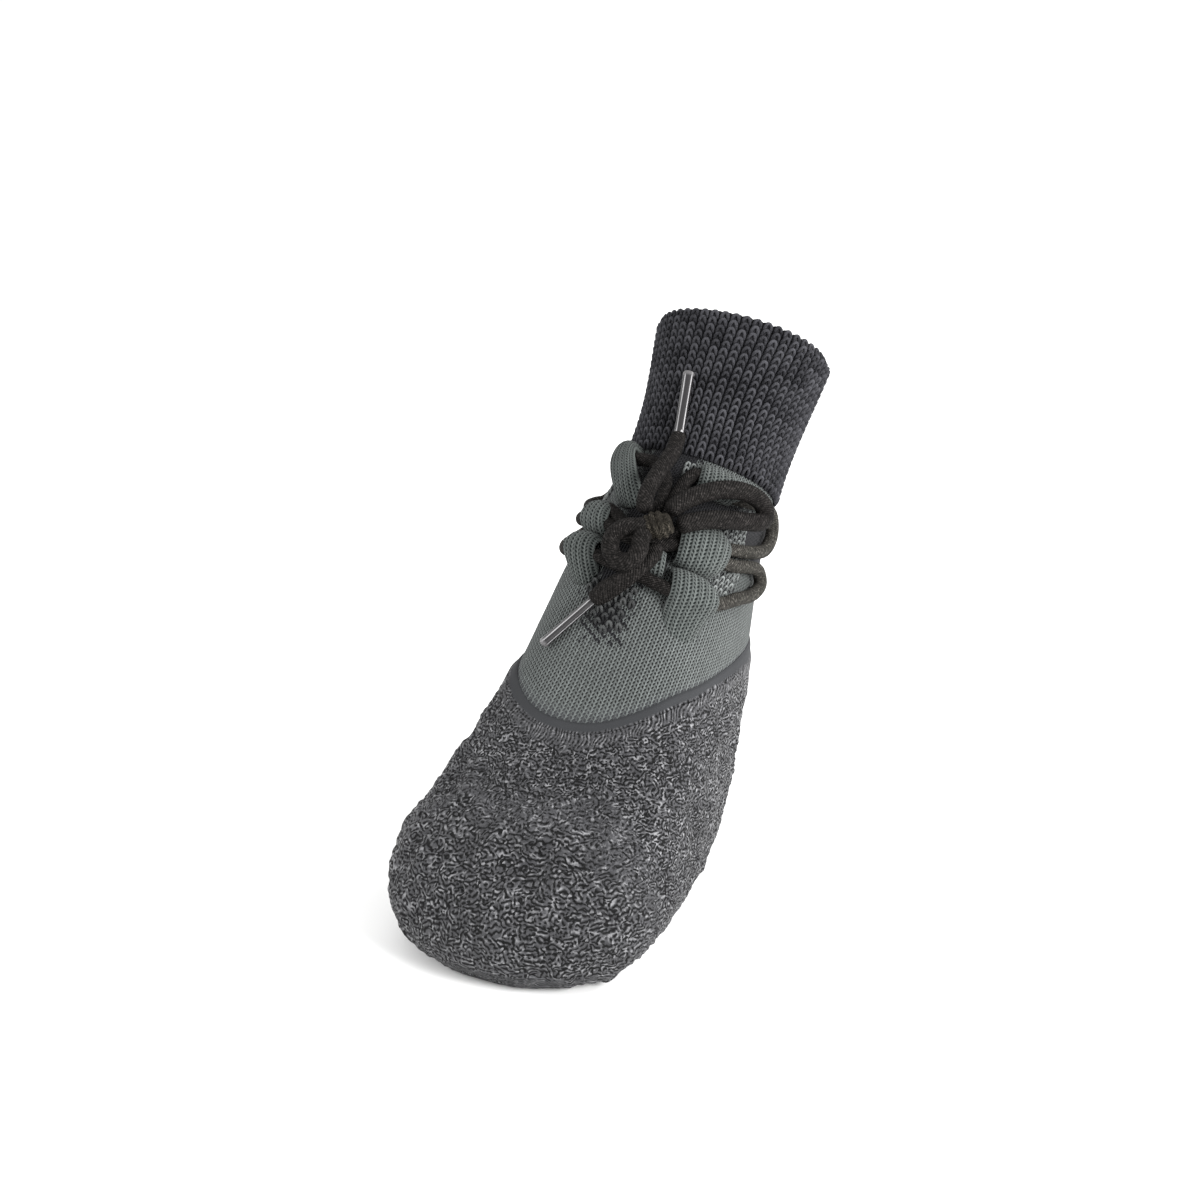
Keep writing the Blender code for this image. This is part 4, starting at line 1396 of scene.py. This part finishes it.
def roundedRadii(points, radius, ends=(True, True)):
    # the cut ends of a lace are rounded off
    radii = np.full(len(points), radius)
    lengths = runningLength(points)
    for depth, rounded in zip((lengths, lengths[-1] - lengths), ends):
        if rounded:
            share = fade(depth, 0.0, lace["roundReach"] * radius)
            radii = np.minimum(radii, radius * np.sqrt(1 - (1 - share) ** 2 * lace["roundDepth"]))
    return radii


def makeLacing(material):
    def along(stops, side):
        places = []
        for stop in stops:
            turnShare = fade(stop.turn, 0.0, lowBar["turn"])
            levelShare = fade(stop.along, lowBar["level"], -lowBar["levelReach"])
            rise = lowBar["rise"][side] * turnShare * levelShare
            places.append(stopPoint(stop.turn, stop.along + rise, stop.lift, side))
        return places

    points = along(lacingToKnot["left"] + lacingUpper + [lacingUnder], 1)
    points += along(lacingLower + [lacingBar], -1)
    points += along(lacingLower[::-1] + [lacingOver], 1)
    points += along(lacingUpper[::-1] + lacingToKnot["right"][::-1], -1)
    route = smoothRoute(points, lace["step"])
    item = makeTube("tiedLace", route, roundedRadii(route, lace["radius"]), lace["sides"], material)
    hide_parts("lacing")
    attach(item, "root")
    print(f"tied lace {runningLength(route)[-1]:.0f} mm long")


def makeKnot(material):
    # a lump with three turns of lace wound round it
    levels, around = knot["levels"], knot["around"]
    angles, axes = roundTurns(around), np.array((knotAcross, knotUp, knotOut))
    rings = []
    for level in math.pi * (np.arange(levels) + 0.5) / levels:
        size, height = math.sin(level) ** knot["roundness"], np.full(around, math.cos(level))
        ball = np.stack((size * np.cos(angles), size * np.sin(angles), height), axis=1)
        turn = ball[:, :2] @ knot["wrapSlant"] + knot["wrapStart"]
        swell = knot["leastSwell"] + knot["wrapSwell"] * np.abs(np.cos(math.pi * turn)) ** knot["wrapBend"]
        rings.append(np.array(knotMiddle) + (swell[:, None] * ball * knot["halfSize"]) @ axes)
    lengths = np.repeat(np.linspace(0, knot["length"], levels)[:, None], around, axis=1)
    parts = chainOfRings(np.array(rings), 2 * np.arange(around) / around, lengths / last["mapUnit"])
    item = meshObject("bowKnot", *parts, material)
    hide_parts("bow_knot")
    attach(item, "root")


def makeBowLoop(name, node, spots, radius, material):
    route = smoothRoute([bowPoint(spot) for spot in spots], lace["step"])
    item = makeTube(name, route, roundedRadii(route, radius), lace["sides"], material)
    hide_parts(node)
    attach(item, "root")
    tuple(route[0] * mm)
    [tuple(point) for point in route * mm]


def makeAglet(name, node, spots, tip, radius, material):
    start, end = bowPoint(spots[-1]), bowPoint(tip)
    start = start + normalised(end - start) * aglet["start"]
    shares, sizes = np.array(aglet["profile"])
    item = makeTube(name, start + (end - start) * shares[:, None], sizes * radius, aglet["sides"], material)
    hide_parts(node)
    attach(item, "root")
    return item


def makeEnd(name, node, spots, tip, sheath, fullness, material):
    # fullness swells the lace at four shares of its free length, and it runs on inside its sheath
    route = smoothRoute([bowPoint(spot) for spot in spots], lace["step"])
    way = normalised(bowPoint(tip) - bowPoint(spots[-1])) * aglet["laceInside"]
    insideShares = np.arange(1, aglet["insideSteps"] + 1) / aglet["insideSteps"]
    whole = np.concatenate((route, route[-1] + way * insideShares[:, None]))
    lengths, free = runningLength(whole), runningLength(route)[-1]
    radii = roundedRadii(whole, lace["endRadius"], (True, False))
    radii *= np.interp(lengths / free, lace["fullAt"], fullness)
    inside = np.interp(lengths - free, *aglet["insideProfile"])
    radii = np.where(lengths > free + 0.01, np.minimum(radii, inside), radii)
    item = makeTube(name, whole, radii, lace["sides"], material)
    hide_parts(node)
    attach(item, "root")
    print(f"{name} {lengths[-1]:.1f} mm long")


laceMaterial = makeLaceMaterial("braidedLace", lace["colour"])
makeLacing(makeLaceMaterial("tiedLace", lace["colour"], lace["litSideColour"]))
makeKnot(makeLaceMaterial("wornLace", lace["knotColour"]))
makeBowLoop("bowLoopLeft", "bow_loop_left", bowLoopLeft, lace["bowRadius"], laceMaterial)
makeBowLoop("bowLoopRight", "bow_loop_right", bowLoopRight, lace["curlRadius"], laceMaterial)
sheathLook = makeAgletMaterial()
agletUp = makeAglet("agletUp", "aglet_up", laceEndUp, agletTipUp, aglet["radiusUp"], sheathLook)
agletDown = makeAglet("agletDown", "aglet_down", laceEndDown, agletTipDown, aglet["radiusDown"], sheathLook)
endUp = ("laceEndUp", "lace_end_up", laceEndUp, agletTipUp, agletUp, lace["fullUp"])
endDown = ("laceEndDown", "lace_end_down", laceEndDown, agletTipDown, agletDown, lace["fullDown"])
makeEnd(*endUp, laceMaterial)
makeEnd(*endDown, laceMaterial)
print("lace ready")
